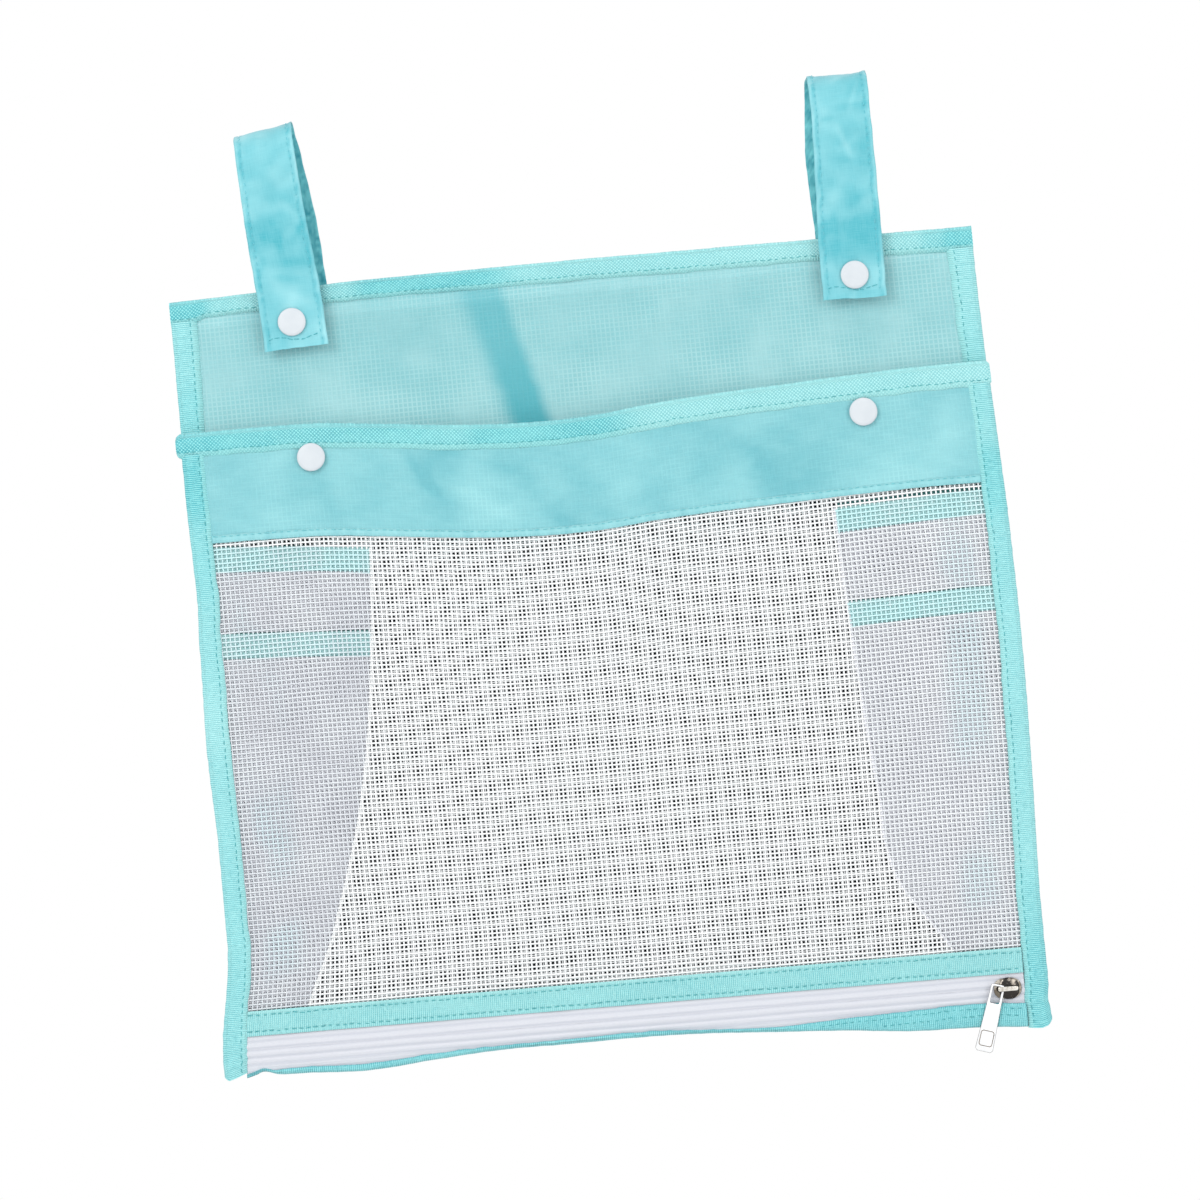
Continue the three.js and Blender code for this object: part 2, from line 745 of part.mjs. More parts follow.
function addSlider() {
  const backFace = coilLayer[1] + gap;
  const outline = roundedBox(sliderLength, sliderHeight, sliderCorner);
  const [left, right] = [-sliderLength / 2, sliderLength / 2];
  const [bottom, top] = [-sliderHeight / 2, sliderHeight / 2];
  const postRight = right - postInset;
  const flangeBase = backFace + plateThick / 2;
  const flangeFront = backFace - flangeReach;
  const flangeEnd = left + sliderCorner;
  const foot = (x) => rod(footRadius, bridgeBack - gap, plateFront + gap, x, 0);
  const bridgeBar = roundedBox(bridgeSpan + bridgeWidth, bridgeWidth, footRadius * (1 - gap));
  addPiece(
    "slider_body",
    joined([
      plate(outline, plateFront, plateBack),
      plate(outline, backFace, backFace + plateThick),
      block([postRight - postLength, postRight], [plateBack - gap, backFace + gap], [-postWidth / 2, postWidth / 2]),
      block([flangeEnd, -flangeEnd], [flangeFront, flangeBase], [top - flangeThick, top]),
      block([flangeEnd, -flangeEnd], [flangeFront, flangeBase], [bottom, bottom + flangeThick]),
      foot(-bridgeSpan / 2),
      foot(bridgeSpan / 2),
      plate(bridgeBar, bridgeFront, bridgeBack),
    ]),
    "nickel",
    slider,
  );
}

// The pull hangs by its eye on the bridge's left foot; it is drawn hanging, then leaned
function addPull() {
  const rim = (pullTopWidth - eyeWidth) / 2;
  const rightSide = footRadius + gap + rim;
  const centre = rightSide - pullTopWidth / 2;
  const topZ = footRadius + gap + rim;
  const endZ = topZ - pullLength;
  const shape = new THREE.Shape();
  shape.moveTo(centre - pullTopWidth / 2, topZ - rim);
  shape.lineTo(centre - pullEndWidth / 2, endZ + rim);
  shape.lineTo(centre - pullEndWidth / 2 + rim, endZ);
  shape.lineTo(centre + pullEndWidth / 2 - rim, endZ);
  shape.lineTo(centre + pullEndWidth / 2, endZ + rim);
  shape.lineTo(centre + pullTopWidth / 2, topZ - rim);
  shape.lineTo(centre + pullTopWidth / 2 - rim, topZ);
  shape.lineTo(centre - pullTopWidth / 2 + rim, topZ);
  const eye = roundedBox(eyeWidth, eyeLength, rim / 2);
  const eyeHole = plate(eye, pullFront - gap, pullBack + gap);
  eyeHole.translate(centre, 0, topZ - rim - eyeLength / 2);
  const ring = roundedBox(panelWidth, panelLength, rim);
  ring.holes.push(roundedBox(panelWidth - 2 * grooveWidth, panelLength - 2 * grooveWidth, rim / 2));
  const groove = plate(ring, pullFront - gap, pullFront + grooveDepth);
  groove.translate(centre, 0, endZ + panelFromEnd + panelLength / 2);
  const pivot = new THREE.Group();
  pivot.position.set(-bridgeSpan / 2, 0, 0);
  pivot.rotation.y = pullLean - zipSlope;
  slider.add(pivot);
  addPiece("zip_pull", cut(plate(shape, pullFront, pullBack), [eyeHole, groove]), "nickel", pivot);
}

addSlider();
addPull();

export default part;
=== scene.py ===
"""Looks of the bath toy organizer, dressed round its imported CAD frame."""

import math

import bmesh
import bpy
import numpy as np
from mathutils import Matrix, Vector


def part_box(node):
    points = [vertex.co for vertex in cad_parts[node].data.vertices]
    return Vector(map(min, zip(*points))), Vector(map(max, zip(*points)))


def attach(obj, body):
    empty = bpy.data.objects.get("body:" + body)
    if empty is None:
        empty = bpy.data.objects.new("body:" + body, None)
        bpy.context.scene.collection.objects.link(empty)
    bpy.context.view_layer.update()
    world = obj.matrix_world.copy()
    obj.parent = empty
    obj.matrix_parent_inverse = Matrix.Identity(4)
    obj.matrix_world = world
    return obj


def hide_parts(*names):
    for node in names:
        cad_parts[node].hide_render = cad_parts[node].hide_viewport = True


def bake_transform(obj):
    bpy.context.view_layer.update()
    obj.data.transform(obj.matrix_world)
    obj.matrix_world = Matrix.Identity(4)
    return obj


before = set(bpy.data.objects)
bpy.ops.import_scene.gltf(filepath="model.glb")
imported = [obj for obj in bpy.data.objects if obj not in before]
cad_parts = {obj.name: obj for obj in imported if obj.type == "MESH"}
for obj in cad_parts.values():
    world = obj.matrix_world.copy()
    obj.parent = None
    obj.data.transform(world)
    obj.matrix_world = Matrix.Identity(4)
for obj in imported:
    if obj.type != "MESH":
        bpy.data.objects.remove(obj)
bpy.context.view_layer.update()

# Sizes in millimetres, and shares of them, as the CAD part has them or works them out
WIDTH, HEIGHT = 353.0, 343.0
HALF = WIDTH / 2
TOP_Z = -71.0
SAG, SAG_SHARES = 9.3, [0, 0, 0.06, 0.37, 0.72, 0.94, 0.92, 0.6, 0.38, 0.24, 0.09, 0, 0]
TILT, DROP, FLARE, FLARE_START, FLARE_SPAN = 0.6, 4.7, 7.4, 280.0, 58.0
BOW, BULGE, FADE = 4.0, 5.0, 4.0
MOUTH, ZIP, TRIM_TOP, TRIM_HIGH = 58.1, 329.0, 311.8, 10.9
SIDE_BINDING, TOP_BINDING, MOUTH_BINDING = 9.7, 10.5, 11.0
BOTTOM_REACH, BOTTOM_SHOW = 18.0, 10.0
EDGE_SHARES = [0.67, 0.65, 0.72, 0.59, 0.49, 0.48, 0.47, 0.51, 0.61, 0.71, 0.86, 0.9, 1]
SHOW_SHARES = [0.2, 0.3, 0.35, 0.3, 0.2, 0.25, 0.25, 0.15, 0.2, 0.5, 0.85, 1, 1]
GUSSET_TOP, GUSSET_BOTTOM, GUSSET_DEPTH = 109.0, 317.8, 79.0
GUSSET_TAPES = {"left": (109.0, 147.0), "right": (109.0, 152.0)}
BULGE_HALF = HALF - 56 - 6.2 - 0.3
BACK_OUT, BACK_IN, FRONT_IN, FRONT_OUT = 1.7, -1.7, -5.1, -9.1
BACK_NET, LINING, FRONT_NET, BAND, TRIM = 0.65, 0.0, -7.55, -8.2, -8.3
RAIL, STRAP_WIDE = 13.0, 25.8

# The gussets' folds, at most points deeper than the CAD part's and by up to 7.5 mm, and their weave's sag
FOLDS = {"left": [0.995, 0.954, 0.888, 0.778, 0.611, 0.437],
         "right": [0.928, 0.915, 0.885, 0.84, 0.775, 0.46]}
GUSSET_SAG = {"left": (-0.8, 4.8), "right": (4.2, 6.4)}

# The nets' pitches and extents, the gussets' tapes and the zip's coils, in millimetres
FRONT_PITCH, BACK_PITCH = 2.03, 1.62
NET_SIDE, FRONT_SPAN, BACK_SPAN = 174.4, (60.2, 315.2), (2.2, 334.5)
TAPE_HIGH = 11.0
COIL_Y, COIL_HIGH, COIL_DEEP, COIL_PITCH = -6.2, 1.2, 0.6, 1.35

# Directions
SIGNS = {"left": -1, "right": 1}
ACROSS, DOWN = (1, 0, 0), (0, 0, 1)
FORWARD, REARWARD = (0, -1, 0), (0, 1, 0)
UPRIGHT = Matrix.Rotation(math.radians(90), 4, "X")

# Where a bending piece starts to leave the back panel, and where it has, in metres
GUSSET_BEND = ((0, -0.00065, -0.2), (0, -0.00615, -0.2))
BOTTOM_BEND = ((0, -0.0005, -0.4), (0, -0.0072, -0.4))
STRAP_BEND = ((0, -0.0134, -0.013), (0, -0.01706, -0.01387))

# The stage, in metres and degrees; the lens and the card in millimetres
VIEW_WIDE, PHOTO_ROLL = 0.52441, -5.47
AIM, LENS, SENSOR = (-0.000935, -0.006, -0.21864), 150, 36
LIT_SPOT = (0, 0, -0.22)
FLOOR_HALF, FLOOR_Z = 3.0, -0.62
CARD_INSET, CARD_BEHIND = 9.2, 2.4


# Drape: where a point of the flat cut hangs
def curve(shares, t):
    """Smooth curve through evenly spaced shares."""
    p = np.asarray(shares, float)
    last = len(p) - 1
    at = np.clip(t, 0, 1) * last
    i = np.minimum(np.floor(at).astype(int), last - 1)
    s = at - i
    a, b = p[np.maximum(i - 1, 0)], p[i]
    c, d = p[i + 1], p[np.minimum(i + 2, last)]
    return b + 0.5 * s * (c - a + s * (2 * a - 5 * b + 4 * c - d + s * (3 * (b - c) + d - a)))


def smooth(t):
    t = np.clip(t, 0, 1)
    return t * t * (3 - 2 * t)


def mix(a, b, t):
    return a + (b - a) * t


def hang(x, d, y):
    """Back panel: metres in the row frame, from millimetres of the flat cut."""
    x, d, y = np.broadcast_arrays(np.asarray(x, float), d, y)
    share = (x + HALF) / WIDTH
    flare = FLARE * np.clip(1 - share, 0, 2) ** FADE * smooth((d - FLARE_START) / FLARE_SPAN)
    bow = BOW * np.clip(share, 0, 2) ** FADE * np.sin(math.pi * d / HEIGHT) ** 2
    drop = DROP * share * d / HEIGHT
    return np.stack([x - flare + bow, y + 0 * x, TOP_Z - d - drop], -1) * 0.001


def hang_front(x, d, y):
    """Front panel: the back panel's drape, with the mouth's sag and bulge."""
    x, d, y = np.broadcast_arrays(np.asarray(x, float), d, y)
    s = np.clip((d - MOUTH) / (TRIM_TOP - MOUTH), 0, 1)
    share = (x + HALF) / WIDTH
    bulge = np.clip(1 - (x / BULGE_HALF) ** 2, 0, 1) ** 2 * (1 - s**2) ** 2
    p = hang(x, d, y - BULGE * bulge)
    p[..., 2] -= (SAG * curve(SAG_SHARES, share) + TILT * share) * smooth(1 - s) * 0.001
    return p


def waves(a, b, size, seed):
    """Smooth made-up unevenness, about -1 to 1, from two coordinates in mm."""
    rng = np.random.default_rng(seed)
    total, weight = 0, 0
    for k in range(3):
        for _ in range(4):
            angle, phase = rng.uniform(0, 2 * math.pi, 2)
            f = 2 * math.pi / size * 1.7**k * rng.uniform(0.8, 1.25)
            total = total + np.sin(f * (a * math.cos(angle) + b * math.sin(angle)) + phase) * 0.6**k
        weight += 0.6**k
    return total / (2.4 * weight)


def ripple(s, size, seed):
    """The same along one line."""
    return waves(s, 0 * s, size, seed)


def ridge(a, b, start, end, width):
    """A soft crease from start to end, 1 on its line."""
    ax, ay = start
    dx, dy = end[0] - ax, end[1] - ay
    length = math.hypot(dx, dy)
    t = np.clip(((a - ax) * dx + (b - ay) * dy) / length**2, 0, 1)
    away = np.hypot(a - ax - t * dx, b - ay - t * dy)
    return np.exp(-((away / width) ** 2)) * np.sin(math.pi * np.clip(t, 0.02, 0.98)) ** 0.5


def edge_reach(x):
    """Depth of the lower edge, drawn up a little beside the left corner."""
    pinch = 2.0 * np.exp(-(((x + 160.4) / 4.4) ** 2))
    return ZIP + BOTTOM_REACH * curve(EDGE_SHARES, (x + HALF) / WIDTH) - pinch


def show_top(x):
    """Depth of the bottom binding's upper edge, higher on the right."""
    show = 0.8 * BOTTOM_SHOW * curve(SHOW_SHARES, (x + HALF) / WIDTH) * (1 + 0.25 * smooth(x / 60))
    return edge_reach(x) - 0.6 - show * smooth((x + 163) / 12)


def crumple(a, b, width, height, count, seed):
    """Many short soft creases over a piece of cloth, about -1 to 1."""
    rng = np.random.default_rng(seed)
    total = 0 * a
    for _ in range(count):
        x, y = rng.uniform(-width / 2, width / 2), rng.uniform(0, height)
        angle, long = rng.uniform(0, math.pi), rng.uniform(6, 20)
        dx, dy = math.cos(angle) * long / 2, math.sin(angle) * long / 2
        lift = rng.choice([-1, 1]) * rng.uniform(0.4, 1)
        total = total + lift * ridge(a, b, (x - dx, y - dy), (x + dx, y + dy), rng.uniform(1.2, 3.2))
    return total


def fold_depth(side, d):
    return GUSSET_DEPTH * curve(FOLDS[side], (d - GUSSET_TOP) / (GUSSET_BOTTOM - GUSSET_TOP))


def gusset_sag(side, e, d):
    """How far a gusset's weave hangs down, more at its fold and less near its foot."""
    outer, fold = GUSSET_SAG[side]
    t = np.clip((e - 2) / np.maximum(fold_depth(side, d) - 2, 1), 0, 1)
    return mix(outer, fold, t) * np.clip((GUSSET_BOTTOM - d) / (GUSSET_BOTTOM - GUSSET_TOP), 0, 1) ** 1.5


def weave_drift(x, d):
    """How the front mesh's yarns wander, across and down."""
    return 0.35 * waves(x, d, 90, 5), 0.35 * waves(x, d, 110, 6)


# Mesh building
def placed(name, data):
    """An object in the scene."""
    obj = bpy.data.objects.new(name, data)
    bpy.context.scene.collection.objects.link(obj)
    return obj


def build(name, verts, faces, mat, uv=None, shade=True, tone=None):
    """One mesh object from vertices in metres and faces of one size."""
    faces = np.asarray(faces, np.int32)
    per = faces.shape[1]
    data = bpy.data.meshes.new(name)
    data.vertices.add(len(verts))
    data.vertices.foreach_set("co", np.ascontiguousarray(verts, np.float32).ravel())
    data.loops.add(faces.size)
    data.loops.foreach_set("vertex_index", faces.ravel())
    data.polygons.add(len(faces))
    data.polygons.foreach_set("loop_start", np.arange(0, faces.size, per, dtype=np.int32))
    data.polygons.foreach_set("use_smooth", np.full(len(faces), shade))
    if uv is not None:
        layer = data.uv_layers.new(name="cut")
        layer.data.foreach_set("uv", np.asarray(uv, np.float32)[faces.ravel()].ravel())
    if tone is not None:
        layer = data.uv_layers.new(name="tone")
        pair = np.asarray(tone if tone.ndim == 2 else np.stack([tone, 0 * tone], -1), np.float32)
        layer.data.foreach_set("uv", pair[faces.ravel()].ravel())
    data.update(calc_edges=True)
    data.validate()
    if mat is not None:
        data.materials.append(mat)
    return placed(name, data)


def grid_faces(rows, cols, wrap=False):
    r, c = np.meshgrid(np.arange(rows - 1), np.arange(cols if wrap else cols - 1), indexing="ij")
    n = (c + 1) % cols
    a = r * cols + c
    return np.stack([a, r * cols + n, (r + 1) * cols + n, (r + 1) * cols + c], -1).reshape(-1, 4)


def cloth(name, points, uv, mat, tone=None):
    """An open sheet from a grid of points."""
    rows, cols = points.shape[:2]
    flat = None if tone is None else tone.reshape(rows * cols, -1).squeeze()
    return build(name, points.reshape(-1, 3), grid_faces(rows, cols), mat, uv.reshape(-1, 2), tone=flat)


def tube_grid(name, rings, uv, mat, tone=None):
    """A closed body from rings of points along a line, capped at both ends."""
    n, k = rings.shape[:2]
    verts = np.concatenate([rings.reshape(-1, 3), rings[:1].mean(1), rings[-1:].mean(1)])
    ends = []
    for ring, centre, flip in ((0, n * k, True), (n - 1, n * k + 1, False)):
        for j in range(k):
            a, b = ring * k + j, ring * k + (j + 1) % k
            ends.append([b, a, centre, centre] if flip else [a, b, centre, centre])
    faces = np.concatenate([grid_faces(n, k, True), np.array(ends)])
    uvs = np.concatenate([uv.reshape(-1, 2), uv[:1].mean(1), uv[-1:].mean(1)])
    if tone is not None:
        tone = tone.reshape(n, k, -1)
        tone = np.concatenate([tone.reshape(n * k, -1), tone[:1].mean(1), tone[-1:].mean(1)]).squeeze()
    return tidy_normals(build(name, verts, faces, mat, uvs, tone=tone))


def tidy_normals(obj):
    """Drops doubled corners of end faces and turns the faces outwards."""
    work = bmesh.new()
    work.from_mesh(obj.data)
    bmesh.ops.dissolve_degenerate(work, dist=1e-7, edges=work.edges)
    bmesh.ops.recalc_face_normals(work, faces=work.faces)
    work.to_mesh(obj.data)
    work.free()
    return obj


def strands(paths, flat, wide, thick, lie):
    """Closed four-sided yarns along paths (count, points, 3); flat is each point's place in the cut."""
    count, points = paths.shape[:2]
    side = np.asarray(lie, float) * wide * 0.0005
    out = np.array([0, 1, 0]) * thick * 0.0005
    ring = np.stack([paths + side, paths + out, paths - side, paths - out], 2)
    along = np.asarray(lie, float)[[0, 2]] * np.array([1, -1]) * wide * 0.5
    spots = np.stack([flat + along, flat, flat - along, flat], 2)
    body = grid_faces(points, 4, True)
    caps = np.array([[3, 2, 1, 0], [points * 4 - 4, points * 4 - 3, points * 4 - 2, points * 4 - 1]])
    one = np.concatenate([body, caps])
    faces = (one[None] + (np.arange(count) * points * 4)[:, None, None]).reshape(-1, 4)
    return ring.reshape(-1, 3), faces, spots.reshape(-1, 2)


def join_parts(parts):
    verts, faces, spots, at = [], [], [], 0
    for v, f, flat in parts:
        verts.append(v)
        faces.append(f + at)
        spots.append(flat)
        at += len(v)
    return np.concatenate(verts), np.concatenate(faces), np.concatenate(spots)


# A stitch's rings of thread: place along it, radius and lift
BEAD = ((-0.5, 0.35, -0.5), (-0.38, 0.85, 0.15), (0, 1, 0.5), (0.38, 0.85, 0.15), (0.5, 0.35, -0.5))


def stitches(name, path, out, mat, pitch=3.2, long=2.1, thick=0.36, seed=1):
    """A row of sewn stitches along a path in metres, each a little bead of thread."""
    path = np.asarray(path, float)
    step = np.linalg.norm(np.diff(path, axis=0), axis=1) * 1000
    run = np.concatenate([[0], np.cumsum(step)])
    rng = np.random.default_rng(seed)
    centres = np.arange(pitch / 2, run[-1] - pitch / 2, pitch)
    centres = centres + rng.uniform(-0.25, 0.25, len(centres))

    def at(s, line):
        return np.stack([np.interp(s, run, line[:, i]) for i in range(3)], -1)

    out = np.asarray(out, float)
    if out.ndim == 2:
        out = at(centres, out)
        out /= np.linalg.norm(out, axis=1, keepdims=True)
    mid = at(centres, path)
    along = at(centres + 0.5, path) - at(centres - 0.5, path)
    along /= np.linalg.norm(along, axis=1, keepdims=True)
    out = np.broadcast_to(out, along.shape)
    across = np.cross(along, out)
    along = along + across * rng.normal(0, 0.1, (len(mid), 1))
    mid = mid + across * rng.normal(0, 0.00008, (len(mid), 1))
    long = long * rng.uniform(0.7, 1.15, (len(mid), 1))
    ang = np.linspace(0, 2 * math.pi, 6, endpoint=False)
    ring = []
    for t, r, l in BEAD:
        centre = mid + along * t * long * 0.001 + out * l * thick * 0.0005
        for a in ang:
            ring.append(centre + (across * math.cos(a) + out * math.sin(a)) * r * thick * 0.0005)
    verts = np.stack(ring, 1).reshape(-1, 3)
    ends = [[0, 1, 2, 3], [0, 3, 4, 5], [24, 27, 26, 25], [24, 29, 28, 27]]
    one = np.concatenate([grid_faces(5, 6, True), ends])
    faces = (one[None] + (np.arange(len(mid)) * 30)[:, None, None]).reshape(-1, 4)
    return tidy_normals(build(name, verts, faces, mat))


def carry(obj, body, slot, *nodes):
    """Makes a piece ride on a body, in the place of CAD nodes; slot is not used."""
    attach(obj, body)
    if nodes:
        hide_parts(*nodes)


def bend(obj, body, ends, slot, *nodes):
    """Bakes a piece's placement into its mesh, in the place of CAD nodes; body, ends and slot are not used.
    """
    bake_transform(obj)
    if nodes:
        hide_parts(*nodes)


def sew(name, path, out, thread, body, slot="tape", **look):
    """A row of stitches that rides on a body."""
    row = stitches(name, path, out, MATS[thread], **look)
    carry(row, body, slot)
    return row


# Materials
def colour(r, g, b):
    """Linear colour from a colour as seen on a screen, 0 to 255."""
    shares = [c / 255 for c in (r, g, b)]
    return tuple(c / 12.92 if c <= 0.04045 else ((c + 0.055) / 1.055) ** 2.4 for c in shares) + (1,)


class Graph:
    """A short way to wire a procedural material, or the world."""

    def __init__(self, name, block=None, output="OutputMaterial"):
        self.block = block or bpy.data.materials.new(name)
        self.block.use_nodes = True
        self.tree = self.block.node_tree
        self.tree.nodes.clear()
        self.output = self.node(output)

    def node(self, kind, inputs=None, **settings):
        """A node whose inputs are wired or set, by index or by name."""
        made = self.tree.nodes.new("ShaderNode" + kind)
        for key, value in settings.items():
            setattr(made, key, value)
        for key, value in (inputs or {}).items():
            if isinstance(value, bpy.types.NodeSocket):
                self.tree.links.new(value, made.inputs[key])
            else:
                made.inputs[key].default_value = value
        return made

    def math(self, operation, *values, clamp=False):
        return self.node("Math", dict(enumerate(values)), operation=operation, use_clamp=clamp).outputs[0]

    def add(self, a, b):
        return self.math("ADD", a, b)

    def sub(self, a, b):
        return self.math("SUBTRACT", a, b)

    def mul(self, a, b):
        return self.math("MULTIPLY", a, b)

    def mad(self, a, b, c):
        """a times b, plus c."""
        return self.math("MULTIPLY_ADD", a, b, c)

    def flip(self, value):
        """1 less a value."""
        return self.sub(1.0, value)

    def blend(self, factor, a, b):
        return self.node("Mix", {0: factor, 6: a, 7: b}, data_type="RGBA").outputs[2]

    def split(self, uv_map):
        made = self.node("SeparateXYZ", {0: self.node("UVMap", uv_map=uv_map).outputs[0]})
        return made.outputs[0], made.outputs[1]

    def point(self, x, y):
        return self.node("CombineXYZ", {0: x, 1: y}).outputs[0]

    def place(self):
        return self.node("TexCoord").outputs["Object"]

    def noise(self, vector, scale, detail=2, roughness=0.5):
        settings = {"Vector": vector, "Scale": scale, "Detail": detail, "Roughness": roughness}
        return self.node("TexNoise", settings).outputs[0]

    def wave(self, value, period, sharp=1.0):
        """0 to 1 and back once in each period."""
        s = self.mad(self.math("SINE", self.mul(value, 2 * math.pi / period)), 0.5, 0.5)
        return self.math("POWER", s, sharp) if sharp != 1 else s

    def step(self, value, low, high):
        """0 below low, 1 above high."""
        return self.node("MapRange", {0: value, 1: low, 2: high}, interpolation_type="SMOOTHSTEP").outputs[0]

    def inside(self, value, low, high, soft):
        """1 between low and high."""
        above, past = (self.step(value, edge - soft, edge + soft) for edge in (low, high))
        return self.mul(above, self.flip(past))

    def rim(self, start, end):
        """1 where a surface turns away at its rounded edge."""
        return self.step(self.node("LayerWeight", {"Blend": 0.5}).outputs["Facing"], start, end)

    def bump(self, height, distance, strength):
        return self.node("Bump", {"Strength": strength, "Distance": distance, "Height": height}).outputs[0]

    def surface(self, base, rough, normal, metal=0.0, sheen=0.0, specular=0.5):
        settings = {"Base Color": base, "Roughness": rough, "Metallic": metal, "Sheen Weight": sheen,
                    "Specular IOR Level": specular, "Normal": normal}
        return self.node("BsdfPrincipled", settings).outputs[0]

    def mix(self, share, a, b):
        return self.node("MixShader", {0: share, 1: a, 2: b}).outputs[0]

    def glowing(self, front, tone, share):
        """A surface that lets a share of the light through."""
        return self.mix(share, front, self.node("BsdfTranslucent", {"Color": tone}).outputs[0])

    def clear(self):
        return self.node("BsdfTransparent").outputs[0]

    def front_only(self, shader):
        """Clear where it is seen from behind its faces."""
        return self.mix(self.node("NewGeometry").outputs["Backfacing"], shader, self.clear())

    def camera_ray(self):
        return self.node("LightPath").outputs["Is Camera Ray"]

    def finish(self, shader):
        self.tree.links.new(shader, self.output.inputs["Surface"])
        return self.block


def tape_material(name, deep, light, lip, diagonal, lip_wide=2.6, paler=(), edge=None):
    """Woven binding tape: twill or cross ribs, with a selvedge of the lip colour by its stitched lip: paler,
    or on the bottom binding a painted shadow line.
    """
    g = Graph(name)
    u, v = g.split("cut")
    here = g.point(u, v)
    turn, sway, rib = (0.9, 1.0, 1.25) if diagonal else (0.0, 0.25, 0.85)
    along, across = g.mad(v, turn, u), g.mad(u, -turn, v)
    ribs = g.wave(g.mad(g.mul(g.noise(here, 0.25), 1.2), sway, along), rib)
    streak = g.noise(g.point(along, g.mul(across, 0.3)), 0.95, 3, 0.65)
    mottle = g.mad(streak, 0.6, g.mul(g.noise(here, 0.8, 4, 0.7), 0.4))
    cloudy = g.noise(g.point(g.mul(u, 0.5), v), 0.06, 3, 0.55)
    lip_mask = g.flip(g.step(v, lip_wide - 0.5, lip_wide + 0.3))
    weave = g.mad(ribs, 0.62, g.mul(g.wave(across, 0.9), 0.38))
    height = g.mad(g.wave(u, 1.15), lip_mask, g.mul(weave, g.flip(lip_mask)))
    if diagonal:
        dots = g.mul(g.wave(g.add(u, v), 1.6), g.wave(g.sub(u, v), 1.6))
        dots = g.mul(dots, g.flip(g.mul(g.step(v, 9.0, 10.3), 0.7)))
        factor = g.step(g.mad(dots, 0.5, g.mul(mottle, 0.66)), 0.33, 0.56)
    else:
        ribbed = g.step(g.noise(g.point(g.mul(u, 1.2), 0.0), 0.12), 0.4, 0.6)
        swing = g.mul(g.sub(ribs, 0.5), g.mad(ribbed, 0.4, 0.24))
        factor = g.step(g.add(swing, mottle), 0.28, 0.7)
    tone = g.blend(factor, deep, light)
    tone = g.blend(g.mul(g.step(cloudy, 0.35, 0.7), 0.35), tone, light)
    share = 0.0
    for start, end, weight in paler:
        share = g.mad(g.step(u, start, end), weight, share)
    if paler:
        tone = g.blend(share, tone, g.blend(factor, colour(150, 212, 213), colour(186, 234, 233)))
    tone = g.blend(g.mul(lip_mask, 0.45), tone, lip)
    if edge is not None:
        # An edge tone: a paler rolled edge, or a painted shadow strip along a gusset tape's top edge.
        sign, start, end, weight, edge_strip = edge
        tone = g.blend(g.mul(g.step(g.mul(v, sign), start, end), weight), tone, edge_strip)
    normal = g.bump(g.mad(mottle, 2.2, height), 0.00024, 0.9)
    return g.finish(g.surface(tone, 0.78, normal, sheen=0.25, specular=0.25))


def taffeta_material(name, deep, light, body, crease=None, grid=None, shine=0.35):
    """Thin woven cloth. body is its share of thread; grid draws in the net that it lies on, with painted
    shade over the net's openings.
    """
    g = Graph(name)
    u, v = g.split("cut")
    threads_u = g.noise(g.point(g.mul(u, 0.12), g.mul(v, 2.2)), 1.0, 2, 0.7)
    threads_v = g.noise(g.point(g.mul(u, 2.2), g.mul(v, 0.12)), 1.0, 2, 0.7)
    weave = g.mul(g.add(threads_u, threads_v), 0.5)
    soft = g.noise(g.point(u, v), 0.03, 4, 0.55)
    shade, inner = g.split("tone")
    lightness = g.math("MULTIPLY_ADD", g.sub(soft, 0.5), 0.9, shade, clamp=True)
    tone = g.blend(lightness, deep, light)
    tone = g.blend(g.mul(g.step(weave, 0.35, 0.65), 0.18), tone, light)
    # Painted shade: where the tone map's second value is set, the cloth takes a darker, deeper teal, as on
    # the inner face of a strap's loop.
    tone = g.blend(inner, tone, g.blend(lightness, colour(54, 160, 174), colour(132, 222, 226)))
    relief = weave
    if grid is not None:
        # Painted shade: the cloth darkens in squares over the net's openings and keeps its tone over the
        # yarns.
        pitch, strength, hole_shade = grid
        upright, level = (g.step(g.wave(at, pitch), 0.62, 0.98) for at in (u, v))
        lines = g.math("MAXIMUM", upright, g.mul(level, 0.8))
        patchy = g.step(g.noise(g.point(u, v), 0.035, 3), 0.3, 0.62)
        depth = g.mul(g.flip(lines), g.mad(patchy, 1.3 * strength, 0.35 * strength))
        tone = g.blend(depth, tone, hole_shade)
        relief = g.mad(lines, 1.5, weave)
    cover = g.mad(g.sub(weave, 0.5), 0.2, body)
    if crease is not None:
        mask, dark = crease(g, u, v)
        tone = g.blend(mask, tone, dark)
        cover = g.math("MAXIMUM", cover, g.mul(mask, 0.97))
    front = g.surface(tone, 0.5, g.bump(relief, 0.0001, 0.6), sheen=shine, specular=0.35)
    return g.finish(g.mix(g.math("MINIMUM", cover, 1.0), g.clear(), g.glowing(front, tone, 0.2)))


def yarn_material(name, base, shadow, share, behind=None):
    """Plastic-coated mesh yarn that lets some light through."""
    g = Graph(name)
    grain = g.noise(g.place(), 700, 2, 0.6)
    tone = g.blend(g.mul(g.step(g.noise(g.place(), 30), 0.3, 0.75), 0.5), base, shadow)
    if behind is not None:
        tone = behind(g, tone)
    front = g.surface(tone, g.mad(grain, 0.2, 0.4), g.bump(grain, 0.0001, 0.35), specular=0.3)
    return g.finish(g.glowing(front, tone, share))


